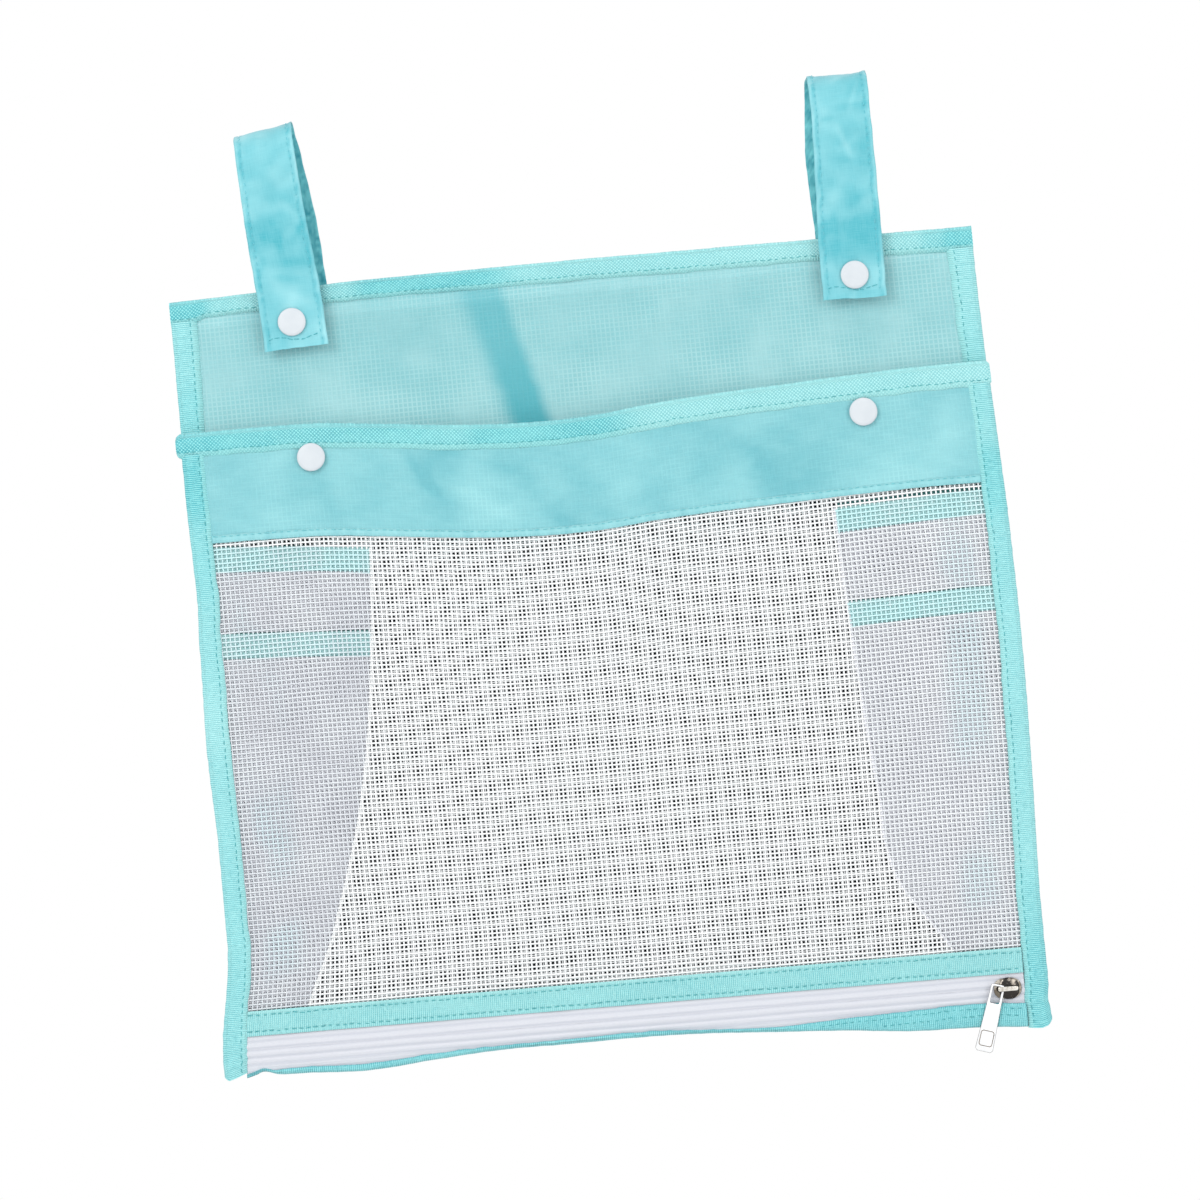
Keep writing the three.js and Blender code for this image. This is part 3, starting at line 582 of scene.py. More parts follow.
def gusset_behind(g, tone):
    """Colours the front mesh's yarns with the grey and the tapes of the gusset close behind them at rest:
    painted shade over the gusset and a painted teal tint, as of the tapes' light, over its tapes.
    """
    u, v = g.split("cut")
    reach, own = g.split("tone")
    on_right = g.math("GREATER_THAN", u, 0.0)
    covered = g.step(own, GUSSET_TOP - 0.6, GUSSET_TOP + 0.4)
    inside = g.mul(g.step(g.mad(on_right, 0.8, reach), 1.1, 1.7), covered)
    cloudy = g.noise(g.point(u, v), 0.05, 3, 0.6)
    # Painted shade: patchy greyer yarns over the gusset.
    grey = g.blend(g.step(cloudy, 0.3, 0.7), colour(204, 208, 216), colour(220, 225, 230))
    tone = g.blend(g.mul(inside, g.mad(on_right, -0.25, 0.7)), tone, grey)
    # Painted light: a faint teal haze on the yarns 12 to 38 mm in from the sides, over the gusset.
    e = g.sub(HALF, g.math("ABSOLUTE", u))
    near = g.mul(g.step(e, 12.0, 20.0), g.flip(g.step(e, 26.0, 38.0)))
    hazy = g.mul(g.mul(near, inside), g.step(g.noise(g.point(u, v), 0.022), 0.42, 0.62))
    tone = g.blend(g.mul(hazy, 0.32), tone, colour(190, 232, 238))
    # Painted light: the tapes' teal tint on the yarns in front of them.
    (first, second_left), (_, second_right) = GUSSET_TAPES["left"], GUSSET_TAPES["right"]
    tops = (first, g.mad(on_right, second_right - second_left, second_left))
    upper, lower = (g.inside(g.sub(own, top), 0.0, TAPE_HIGH, 0.4) for top in tops)
    taped = g.mul(g.add(upper, g.mul(lower, g.mad(on_right, 0.35, 0.65))), inside)
    patchy = g.mad(g.step(cloudy, 0.35, 0.6), 0.25, g.mad(on_right, 0.13, 0.47))
    return g.blend(g.mul(taped, patchy), tone, colour(198, 246, 247))


def zip_tape_material(name, base, deep):
    """Closely woven white tape with lengthwise lines, the grey ones painted shade in its hollows."""
    g = Graph(name)
    u, v = g.split("cut")
    bone = g.wave(g.add(u, g.mul(g.math("PINGPONG", v, 1.0), 0.8)), 0.7)
    grain = g.noise(g.point(g.mul(u, 0.5), g.mul(v, 2.5)), 1.4, 3, 0.6)
    tone = g.blend(g.mul(g.step(grain, 0.4, 0.7), 0.5), base, deep)
    # Painted shade: thin grey lines along the hollows of the tape.
    furrow_shade = g.wave(g.mad(g.noise(g.point(g.mul(u, 0.4), v), 0.06), 1.5, v), 3.1, 3.0)
    tone = g.blend(g.mul(furrow_shade, 0.34), tone, colour(176, 181, 194))
    height = g.add(g.mul(bone, 0.3), g.mad(g.wave(v, 1.05, 2.0), 0.4, g.mul(grain, 0.5)))
    return g.finish(g.surface(tone, 0.85, g.bump(height, 0.00012, 0.7), specular=0.2))


def plastic_material(name, base, deep):
    """Satin moulded plastic with faint moulding unevenness."""
    g = Graph(name)
    cloud, fine = g.noise(g.place(), 160, 3), g.noise(g.place(), 1500)
    tone = g.blend(g.mul(g.step(cloud, 0.35, 0.65), 0.5), base, deep)
    # Painted shade: a darker bluish rim where the surface turns away at its edge.
    tone = g.blend(g.mul(g.rim(0.25, 0.85), 0.4), tone, colour(150, 176, 186))
    return g.finish(g.surface(tone, g.mad(cloud, 0.15, 0.42), g.bump(fine, 0.00004, 0.3), specular=0.25))


def metal_material(name, base, deep, rough, edge, patches=350.0, low=0.4, high=0.75):
    """Plated zinc: brighter and darker patches, fine scratches, and rounded edges darkened by painted shade.
    """
    g = Graph(name)
    cloud, scratch = g.noise(g.place(), patches, 3, 0.6), g.noise(g.place(), 4000, 1)
    # Painted shade: the edge colour darkens the surface where it turns away at its rounded edges.
    tone = g.blend(g.rim(0.12, 0.5), g.blend(g.step(cloud, low, high), base, deep), edge)
    return g.finish(g.surface(tone, g.mad(cloud, 0.16, rough), g.bump(scratch, 0.00002, 0.25), metal=1.0))


def thread_material(name, base, deep):
    g = Graph(name)
    twist = g.noise(g.place(), 2500, 2, 0.6)
    tone = g.blend(g.step(twist, 0.35, 0.65), base, deep)
    return g.finish(g.surface(tone, 0.7, g.bump(twist, 0.00005, 0.5), sheen=0.3, specular=0.2))


def lining_crease(g, u, v):
    """The darker strip in the lining, as if its cloth were doubled there."""
    middle = g.mad(v, 0.28, -40.2)
    wander = g.mul(g.sub(g.noise(g.point(0.0, v), 0.09), 0.5), 3.0)
    away = g.sub(g.sub(u, middle), wander)
    core = g.mul(g.step(away, -13.5, -5.0), g.mad(v, 0.006, 0.16))
    haze = g.mul(g.step(away, -18.0, -8.0), 0.36)
    return g.mul(g.add(core, haze), g.flip(g.step(away, 3.0, 10.5))), colour(70, 180, 192)


# Paler stretches along a binding: start, end and weight, set against tones measured in the photo
TOP_PALER = ((-164, -156, 0.55), (-152, -144, 0.15), (-136, -124, -0.2), (-100, -88, -0.5), (-40, -18, 0.62),
             (40, 90, 0.18), (110, 130, -0.1), (151, 158, -0.35), (160, 167, -0.35))
MOUTH_PALER = ((-165, -150, 0.1), (-145, -130, 0.08), (-75, -60, 0.1), (-55, -45, -0.2), (5, 30, 0.6),
               (140, 150, 0.1))
LEFT_PALER = ((-2, -1, 0.5), (30, 45, -0.2), (60, 75, -0.3), (88, 104, 0.33), (115, 150, 0.22),
              (165, 180, 0.2), (190, 205, -0.2), (225, 260, -0.1))
RIGHT_PALER = ((-2, -1, 0.6), (30, 50, -0.15), (90, 100, -0.3), (118, 130, 0.3), (150, 170, 0.1),
               (270, 290, -0.2), (298, 315, -0.2))

# Edge tones of a tape: side, start, end, weight and colour. The dark one is painted shadow along a gusset
# tape's top edge.
ROLLED = (1.0, 8.6, 10.2, 0.3, colour(178, 236, 234))
TAPE_TOP_SHADOW = (-1.0, -0.2, 0.2, 1.0, colour(46, 108, 106))
TAPE = (colour(68, 167, 178), colour(144, 222, 223), colour(162, 222, 220))
GUSSET_TAPE = (colour(158, 204, 205), colour(196, 230, 229), colour(196, 232, 230))
# The bottom tape's lip colour is painted shadow: a dark line along its top edge, under the zip tape's edge.
BOTTOM_TAPE = (colour(90, 175, 183), colour(147, 218, 221), colour(62, 146, 160))
TRIM_TAPE = (colour(116, 190, 195), colour(164, 222, 221), colour(172, 226, 224))
BAND_CLOTH, BAND_HOLE_SHADE = (colour(114, 195, 205), colour(166, 229, 233)), colour(112, 190, 200)
LINING_CLOTH, LINING_HOLE_SHADE = (colour(142, 204, 209), colour(178, 226, 228)), colour(120, 196, 202)
STRAP_CLOTH = (colour(82, 190, 203), colour(168, 232, 238))
YARN = (colour(254, 255, 255), colour(250, 252, 252))
GREY_EDGE_SHADE, BROWN_EDGE_SHADE = (0.02, 0.02, 0.02, 1), (0.05, 0.034, 0.026, 1)
# The plate's paler patches are painted highlights on the slider's dark dome.
PLATE = ((0.05, 0.045, 0.04, 1), (0.42, 0.37, 0.31, 1), 0.2, GREY_EDGE_SHADE, 260.0, 0.52, 0.62)
BRIDGE = ((0.88, 0.84, 0.76, 1), (0.5, 0.44, 0.36, 1), 0.16, BROWN_EDGE_SHADE, 500.0)
NOSE = ((0.6, 0.55, 0.47, 1), (0.2, 0.17, 0.13, 1), 0.22, BROWN_EDGE_SHADE, 420.0, 0.4, 0.6)
PULL = ((0.97, 0.97, 0.97, 1), (0.9, 0.9, 0.91, 1), 0.3, BROWN_EDGE_SHADE)
GROOVE_SHADE = ((0.3, 0.25, 0.2, 1), (0.12, 0.09, 0.07, 1), 0.4, BROWN_EDGE_SHADE)
MATS = {
    "top_tape": tape_material("top_binding_twill", *TAPE, True, 2.6, TOP_PALER, ROLLED),
    "mouth_tape": tape_material("mouth_binding_twill", *TAPE, True, 2.6, MOUTH_PALER, ROLLED),
    "gusset_tape": tape_material("gusset_tape_twill", *GUSSET_TAPE, True, 0.8, (), TAPE_TOP_SHADOW),
    "ribbed_left": tape_material("left_side_ribbed", *TAPE, False, 2.0, LEFT_PALER),
    "ribbed_right": tape_material("right_side_ribbed", *TAPE, False, 2.0, RIGHT_PALER),
    "bottom_tape": tape_material("bottom_binding_ribbed", *BOTTOM_TAPE, False, 0.4),
    "trim": tape_material("zip_trim_tape", *TRIM_TAPE, False, 1.4),
    "band": taffeta_material("band_taffeta", *BAND_CLOTH, 0.93, grid=(FRONT_PITCH, 0.14, BAND_HOLE_SHADE)),
    "lining": taffeta_material("lining_taffeta", *LINING_CLOTH, 0.94, lining_crease,
                               (FRONT_PITCH, 0.3, LINING_HOLE_SHADE)),
    "strap": taffeta_material("strap_taffeta", *STRAP_CLOTH, 1.0),
    "mesh": yarn_material("mesh_yarn", *YARN, 0.04),
    "front_mesh": yarn_material("front_mesh_yarn", *YARN, 0.0, gusset_behind),
    "gusset": yarn_material("gusset_yarn", colour(250, 250, 255), colour(242, 242, 250), 0.04),
    "zip": zip_tape_material("zip_tape_weave", colour(212, 213, 219), colour(202, 204, 212)),
    "coil": plastic_material("zip_coil_nylon", colour(214, 216, 224), colour(200, 203, 212)),
    "snap": plastic_material("snap_plastic", colour(207, 212, 216), colour(199, 205, 210)),
    "plate": metal_material("slider_plate_metal", *PLATE),
    "bridge": metal_material("slider_bridge_metal", *BRIDGE),
    "nose": metal_material("slider_rim_metal", *NOSE),
    "pull": metal_material("zip_pull_metal", *PULL),
    "groove": metal_material("zip_pull_groove_shade", *GROOVE_SHADE),
    "thread": thread_material("thread_teal", colour(54, 146, 154), colour(92, 184, 186)),
    "thread_hem": thread_material("thread_hem", colour(66, 166, 178), colour(104, 196, 202)),
    "thread_strap": thread_material("thread_strap", colour(94, 188, 200), colour(124, 208, 218)),
    "thread_pale": thread_material("thread_pale", colour(96, 186, 196), colour(128, 208, 214)),
}


# Camera, light and surroundings
def add_camera():
    """The photo's view, rolled as the photo is; VIEW_WIDE metres show across at the bag."""
    data = bpy.data.cameras.new("photo_camera")
    data.lens, data.sensor_width, data.clip_start, data.clip_end = LENS, SENSOR, 0.05, 30
    camera = placed("photo_camera", data)
    distance = VIEW_WIDE * data.lens / data.sensor_width
    turn = UPRIGHT @ Matrix.Rotation(math.radians(PHOTO_ROLL), 4, "Z")
    camera.matrix_world = Matrix.Translation((AIM[0], AIM[1] - distance, AIM[2])) @ turn
    bpy.context.scene.camera = camera


def add_light(name, place, size, energy):
    data = bpy.data.lights.new(name, "AREA")
    data.shape, data.size, data.energy = "DISK", size, energy
    light = placed(name, data)
    light.location = place
    light.rotation_euler = (Vector(LIT_SPOT) - Vector(place)).to_track_quat("-Z", "Y").to_euler()


def add_world():
    """White to the camera, and a little cooler and dimmer as light."""
    world = bpy.data.worlds.new("white_studio")
    bpy.context.scene.world = world
    g = Graph("white_studio", world, "OutputWorld")
    seen = g.node("Background", {0: (1, 1, 1, 1), 1: 1.0}).outputs[0]
    lit = g.node("Background", {0: (0.97, 0.985, 1.0, 1), 1: 0.88}).outputs[0]
    g.finish(g.mix(g.camera_ray(), lit, seen))


def add_floor():
    """White to the camera, matt to the light, and clear from below."""
    g = Graph("floor_white")
    glow = g.node("Emission", {0: (1, 1, 1, 1)}).outputs[0]
    matt = g.node("BsdfDiffuse", {0: (0.8, 0.8, 0.8, 1)}).outputs[0]
    mat = g.finish(g.front_only(g.mix(g.camera_ray(), matt, glow)))
    s, z = FLOOR_HALF, FLOOR_Z
    verts = np.array([[-s, -s, z], [s, -s, z], [s, s, z], [-s, s, z]])
    build("floor", verts, [[0, 1, 2, 3]], mat, shade=False)


def add_dark_card():
    """A dark card close behind the bag, seen by the camera from the front only.

    The photograph shows dark holes in the mesh and no such card: it stands in for what makes them dark.
    """
    # Painted shade: a near-black card that only the camera sees, showing as the dark in the mesh's openings.
    g = Graph("card_dark")
    mat = g.finish(g.front_only(g.node("BsdfDiffuse", {0: (0.012, 0.014, 0.016, 1)}).outputs[0]))
    half = HALF - CARD_INSET
    x, d = np.meshgrid(np.linspace(-half, half, 24), np.linspace(12, 336, 40))
    card = cloth("dark_card", hang(x, d, CARD_BEHIND), np.stack([x, d], -1), mat)
    if card.data.polygons[0].normal.y > 0:
        card.data.flip_normals()
    for kind in ("diffuse", "glossy", "shadow", "volume_scatter"):
        setattr(card, "visible_" + kind, False)


# Mesh panels
def net(place, y, pitch, wide, thick, d_range, step, seed, drift, lean=0.0):
    """Crossing coated yarns over a panel: uprights behind, crosswise yarns in front."""
    (x0, x1), (d0, d1) = (-NET_SIDE, NET_SIDE), d_range
    rng = np.random.default_rng(seed)
    xs, ds = np.arange(x0 + pitch / 2, x1, pitch), np.arange(d0 + pitch / 2, d1, pitch)
    rows = np.linspace(d0, d1, int((d1 - d0) / step) + 2)
    cols = np.linspace(x0, x1, int((x1 - x0) / step) + 2)
    off, round_thick = thick * 0.22, thick * 0.62
    gx, gd = np.meshgrid(xs, rows, indexing="ij")
    gx = np.clip(gx + drift(gx, gd)[0] + lean * (gd - d0) + rng.normal(0, 0.03, (len(xs), 1)), x0, x1)
    hd, hx = np.meshgrid(ds, cols, indexing="ij")
    hd = np.clip(hd + drift(hx, hd)[1] - lean * hx + rng.normal(0, 0.03, (len(ds), 1)), d0, d1)
    uprights = strands(place(gx, gd, y + off), np.stack([gx, gd], -1), wide, round_thick, ACROSS)
    crosswise = strands(place(hx, hd, y - off), np.stack([hx, hd], -1), wide, round_thick, DOWN)
    return join_parts([uprights, crosswise])


def behind_front(flat):
    """For points of the front mesh: how far inside a gusset's fold, and the gusset's own depth there."""
    x, d = flat[:, 0], flat[:, 1]
    e = HALF - np.abs(x)
    values = []
    for side in SIGNS:
        own = d - gusset_sag(side, e, d)
        values.append(np.stack([fold_depth(side, own) - e, own], -1))
    return np.where((x < 0)[:, None], *values)


def loose_drift(x, d):
    """How the back mesh's yarns wander, across and down."""
    return 0.4 * waves(x, d, 70, 9), 0.4 * waves(x, d, 80, 10)


def add_panel_nets():
    """Both nets; the front one has its folded hem's extra yarns near the zip trim."""
    parts = [net(hang_front, FRONT_NET, FRONT_PITCH, 0.76, 0.3, FRONT_SPAN, 4.4, 5, weave_drift)]
    for d, x0, x1 in ((306.9, -60, 40), (309.0, -112, 100), (311.0, -165, 174)):
        x = np.linspace(x0, x1, 60)
        d = np.full(60, d) + weave_drift(x, np.full(60, d))[1]
        line = hang_front(x, d, FRONT_NET + 0.3)
        parts.append(strands(line[None], np.stack([x, d], -1)[None], 1.3, 0.2, DOWN))
    verts, faces, flat = join_parts(parts)
    front = build("front_net", verts, faces, MATS["front_mesh"], flat, tone=behind_front(flat))
    carry(front, "front_panel", "mesh", "front_mesh")
    verts, faces, flat = net(hang, BACK_NET, BACK_PITCH, 0.52, 0.68, BACK_SPAN, 8.5, 9, loose_drift, 0.012)
    back = build("back_net", verts, faces, MATS["mesh"], flat)
    carry(back, "back_panel", "mesh", "back_mesh")


# Gussets: one folded piece, a narrow V from the front edge to the fold and back
def gusset_point(side, e, d, leaf):
    """e is in from the outer edge; leaf 0 is the front leaf and 1 the back one."""
    t = np.clip((e - 2) / np.maximum(fold_depth(side, d) - 2, 1), 0, 1)
    d = d + gusset_sag(side, e, d)
    y_front, y_back, y_fold = -6.3, -0.65, -5.9
    y = np.where(leaf < 0.5, mix(y_front, y_fold - 0.3, t), mix(y_back, y_fold + 0.3, t))
    x = SIGNS[side] * (HALF - e)
    front, back = hang_front(x, d, y), hang(x, d, y)
    weight = np.where(leaf < 0.5, 1 - 0.5 * smooth(t), 0.5 * smooth(t))[..., None]
    return front * weight + back * (1 - weight)


def add_gusset(side):
    """Both leaves' yarns lie off the front mesh's own and wander, so that its holes look half filled."""
    sign, thick, steps = SIGNS[side], 0.34, 48
    parts = []
    deepest = np.linspace(GUSSET_TOP, GUSSET_BOTTOM, 400)
    depths = fold_depth(side, deepest)
    for leaf, wide, offset in ((0.0, 1.04, 0.4), (1.0, 1.4, 0.25)):
        ds = np.arange(FRONT_SPAN[0] + FRONT_PITCH * (25.5 + offset), GUSSET_BOTTOM, FRONT_PITCH)
        hd, t = np.meshgrid(ds, np.linspace(0, 1, 19), indexing="ij")
        e = mix(2.0, fold_depth(side, hd) - 0.3, t)
        x = sign * (HALF - e)
        stray = weave_drift(x, hd)[1] + 0.4 * waves(x, hd, 55, 33)
        line = gusset_point(side, e, hd + stray - gusset_sag(side, e, hd) * (1 - leaf), leaf)
        parts.append(strands(line, np.stack([x, hd], -1), wide, thick, DOWN))
        xs = np.arange(-NET_SIDE + FRONT_PITCH * (0.5 + offset), NET_SIDE, FRONT_PITCH)
        for x0 in xs[(xs * sign > 0) & (HALF - np.abs(xs) > 3.5)]:
            e0 = HALF - abs(x0)
            open_rows = deepest[depths > e0 + 0.8]
            if len(open_rows) < 8:
                continue
            d, x = np.linspace(open_rows[0], open_rows[-1], steps), np.full(steps, x0)
            shift = sign * (weave_drift(x, d)[0] + 0.4 * waves(x, d, 60, 34))
            line = gusset_point(side, e0 - shift, d, leaf)
            line[:, 1] += 0.00012
            parts.append(strands(line[None], np.stack([x, d], -1)[None], wide, thick, ACROSS))
    verts, faces, flat = join_parts(parts)
    piece = build(side + "_gusset_net", verts, faces, MATS["gusset"], flat)
    crease = add_fold_edge(side)
    bend(piece, "front_panel", GUSSET_BEND, "mesh", side + "_gusset")
    bend(crease, "front_panel", GUSSET_BEND, "mesh")


def add_fold_edge(side):
    """The pressed fold: a narrow strip where the mesh doubles back."""
    d = np.linspace(GUSSET_TOP, GUSSET_BOTTOM, 90)
    wobble = 0.15 * ripple(d, 25, 31)
    section = ((1.4, 0, -0.5), (0.9, 0, -0.6), (0.2, 0, -0.6), (-0.2, 0, -0.2), (0.2, 1, 0.3),
               (1.4, 1, 0.35), (1.2, 1, 0.05), (0.5, 1, -0.05), (0.5, 0, -0.3), (1.2, 0, -0.25))
    ring = []
    for back, leaf, lift in section:
        p = gusset_point(side, fold_depth(side, d) - back + wobble, d, np.full_like(d, float(leaf)))
        p[:, 1] += lift * 0.001
        ring.append(p)
    uv = np.stack(np.broadcast_arrays(d[:, None], np.arange(len(ring))[None]), -1).astype(float)
    mat = MATS["mesh" if side == "left" else "gusset"]
    return tube_grid(side + "_gusset_fold", np.stack(ring, 1), uv, mat)


def add_gusset_tape(side, which, top):
    """Woven tape sewn across the gusset's front leaf and round its fold."""
    # The tape reaches a little above its top; that strip carries the painted shadow along its top edge.
    edge_strip = 1.9 if (side, which) == ("right", "upper") else 0.5
    long = 80
    dd, tt = np.meshgrid(np.linspace(top - edge_strip, top + TAPE_HIGH, 12), np.linspace(0, 1, 40), indexing="ij")
    wobble = 0.35 * waves(tt * long, dd, 30, 41)
    face = gusset_point(side, mix(2.0, fold_depth(side, dd) - 1.3, tt), dd + wobble * 0.6, 0.0)
    face[..., 1] -= 0.00042 + 0.0001 * np.clip(1 - ((dd - top - 5.5) / 5.5) ** 2, 0, 1)
    rear = face + np.array([0, 0.00025, 0])
    rings = np.concatenate([face.transpose(1, 0, 2), rear.transpose(1, 0, 2)[:, ::-1]], 1)
    uv = np.stack([tt.T * long, dd.T - top], -1)
    name = f"{side}_gusset_{which}_tape"
    piece = tube_grid(name + "_woven", rings, np.concatenate([uv, uv[:, ::-1]], 1), MATS["gusset_tape"])
    bend(piece, "front_panel", GUSSET_BEND, "tape", name)


# Bindings: a folded tape round an edge, swept along it
def binding_profile(width, low, high, tucks):
    """Cross-section points (in from the edge, y, distance from the lip), outside then inside."""
    mid, deep, thick = (low + high) / 2, (high - low) / 2, 0.5
    near, far = tucks
    outer = [(width, low + near, 0.0), (width - 0.4, low + 0.66 * near, 0.4)]
    outer += [(width - 1.0, low + 0.2 * near, 1.0), (width - 1.9, low - 0.12, 1.9)]
    flats = ((0.72, 0.22), (0.45, 0.28), (0.2, 0.1))
    outer += [(width * share, low - puff, width * (1 - share)) for share, puff in flats]
    bend_in = min(deep, 1.6)
    for r in np.radians(np.linspace(-80, 80, 7)):
        outer.append((bend_in * (1 - math.cos(r)) * 0.9, mid + deep * math.sin(r), width))
    outer += [(width * share, high + puff, width * (1 - share)) for share, puff in flats[::-1]]
    outer += [(width - 1.1, high + 0.1, 1.1), (width - 0.3, high - 0.4 * far + 0.05, 0.4)]
    outer += [(width, high - far, 0.0)]
    inner = [(width, high - far - 0.12, 0.0), (width - 1.2, high - thick, 1.2), (1.2, high - thick, width)]
    inner += [(1.2, low + thick, width), (width - 1.2, low + thick, 1.2), (width, low + near + 0.12, 0.0)]
    return np.array(outer + inner)


def lip_wander(s, seed):
    """How a binding's stitched lip wanders along it."""
    return LIP_WAVE * ripple(s, 34, seed) + 0.4 * LIP_WAVE * ripple(s, 9, seed + 1)


def swept(name, stations, profile, place, mat, seed):
    """Sweeps a profile along stations; the stitched lip wanders a little."""
    s, k = np.meshgrid(stations, np.arange(len(profile)), indexing="ij")
    e, y, v = profile[:, 0][k], profile[:, 1][k], profile[:, 2][k]
    share = e / profile[:, 0].max()
    puff = 0.22 * waves(s, e, 12, seed + 2) * np.sin(math.pi * np.clip(share, 0, 1))
    fray = 0.14 * ripple(s, 5, seed + 4) * np.clip(1 - share, 0, 1) ** 2
    centre = (profile[:, 1].min() + profile[:, 1].max()) / 2
    rings = place(s, e + lip_wander(s, seed) * share**2 + fray, y + puff * np.sign(y - centre))
    return tube_grid(name, rings, np.stack([s, v], -1), mat)


def add_edge(node, body, stations, width, low, high, place, mat, seed, tucks, inset):
    """A binding with its two rows of stitches, inset from the lip."""
    name = node + "_woven"
    piece = swept(name, stations, binding_profile(width, low, high, tucks), place, MATS[mat], seed)
    carry(piece, body, "tape", node)
    e = width - inset
    e = e + lip_wander(stations, seed) * (e / width) ** 2
    for face, y, out in (("front", low - 0.24, FORWARD), ("back", high + 0.24, REARWARD)):
        path = place(stations, e, np.full_like(stations, y))
        sew(f"{name}_{face}_stitches", path, out, "thread", body, seed=seed)


def drawn_in(s, start, radius):
    """How far a strip's corner is rounded off near its start."""
    t = np.clip(1 - (s - start) / radius, 0, 1)
    return radius * (1 - np.sqrt(np.maximum(1 - t**2, 0)))


LIP_WAVE = 0.45
TOP_RISE = ([-177, -130, -90, 0, 60, 110, 177], [0, 0.9, 1.9, 1.9, 1.3, 0.8, 0.1])
LIP_RISE = ([-177, -168, -160, -83, -5, 60, 110, 165, 177], [0, 0.2, 2.8, 3.9, 3.0, 2.2, 1.8, 0.5, 0])


def top_place(s, e, y):
    """The top edge arches a little above the straight cut, and its lip more."""
    rise, lip = curve_through(s, *TOP_RISE), curve_through(s, *LIP_RISE)
    return hang(s, e * (TOP_BINDING - lip + rise) / TOP_BINDING - rise, y)


def mouth_place(s, e, y):
    middle = MOUTH_BINDING / 2
    draw = drawn_in(s, -HALF - 2.4, 3.2) + drawn_in(-s, -HALF - 0.4, 1.6)
    return hang_front(s, MOUTH + middle + (e - middle) * (1 - 0.8 * draw / middle), y)


def corner_cut(side, e):
    """Depth of the side binding's lower end, e in from the outer edge."""
    if side == "left":
        return 341.3 - 0.42 * np.maximum(e - 2.4, 0) - 1.9 * np.clip(1 - e / 2.4, 0, 1) ** 2
    return 347.2 - 3.6 * np.clip(1 - e / 3.8, 0, 1) ** 2 - 0.1 * np.maximum(e - 5, 0)


SIDE_START, SIDE_DEEPEST = 326.0, {"left": 342.0, "right": 348.0}
SIDE_SHIFT = {"left": ([0, 87, 131, 153, 197, 240, 284, 310, 350],
                       [0, 0.4, -0.4, 0.6, 1.7, 0.6, 0.8, 0.6, 0]),
              "right": ([0, 60, 131, 284, 306, 328, 336, 347], [0, 0, 0.3, 0.7, 1.2, 1.6, 0.9, 1.8])}


def side_place(side, drape):
    """Where a side binding's points lie, s down the bag and e in from its edge."""
    def place(s, e, y):
        t = np.clip((s - SIDE_START) / (SIDE_DEEPEST[side] - SIDE_START), 0, 1)
        d = np.where(s > SIDE_START, mix(SIDE_START, corner_cut(side, e), t), s)
        shift = curve_through(s, *SIDE_SHIFT[side])
        wider = 1.9 * smooth((78 - s) / 66) * (e / SIDE_BINDING) ** 2
        return drape(SIGNS[side] * (HALF - e - wider + shift * (1 - 0.5 * e / SIDE_BINDING)), d, y)

    return place


def curve_through(s, places, values):
    """Smooth steps from value to value."""
    places, values = np.array(places, float), np.array(values, float)
    i = np.clip(np.searchsorted(places, s) - 1, 0, len(places) - 2)
    return mix(values[i], values[i + 1], smooth((s - places[i]) / (places[i + 1] - places[i])))


def add_bindings():
    along = np.linspace(-HALF, HALF, 300)
    add_edge("top_binding", "back_panel", along, TOP_BINDING, BACK_IN, BACK_OUT, top_place, "top_tape",
             51, (1.65, 0.9), 2.4)
    along = np.concatenate([np.linspace(-HALF - 2.4, -HALF + 1, 12), np.linspace(-HALF + 2, HALF + 0.4, 290)])
    add_edge("mouth_binding", "front_panel", along, MOUTH_BINDING, FRONT_OUT, FRONT_IN, mouth_place,
             "mouth_tape", 61, (0.85, 1.6), 2.6)
    for side in SIGNS:
        for layer, low, high, drape, top, tucks in (
            ("back", BACK_IN, BACK_OUT, hang, TOP_BINDING - 1.5, (1.65, 0.9)),
            ("front", FRONT_OUT, FRONT_IN, hang_front, MOUTH + MOUTH_BINDING - 1.5, (1.15, 1.6)),
        ):
            along = np.linspace(top, SIDE_DEEPEST[side], 280)
            add_edge(f"{side}_{layer}_binding", layer + "_panel", along, SIDE_BINDING, low, high,
                     side_place(side, drape), "ribbed_" + side, 70 + len(side) + len(layer), tucks, 2.3)


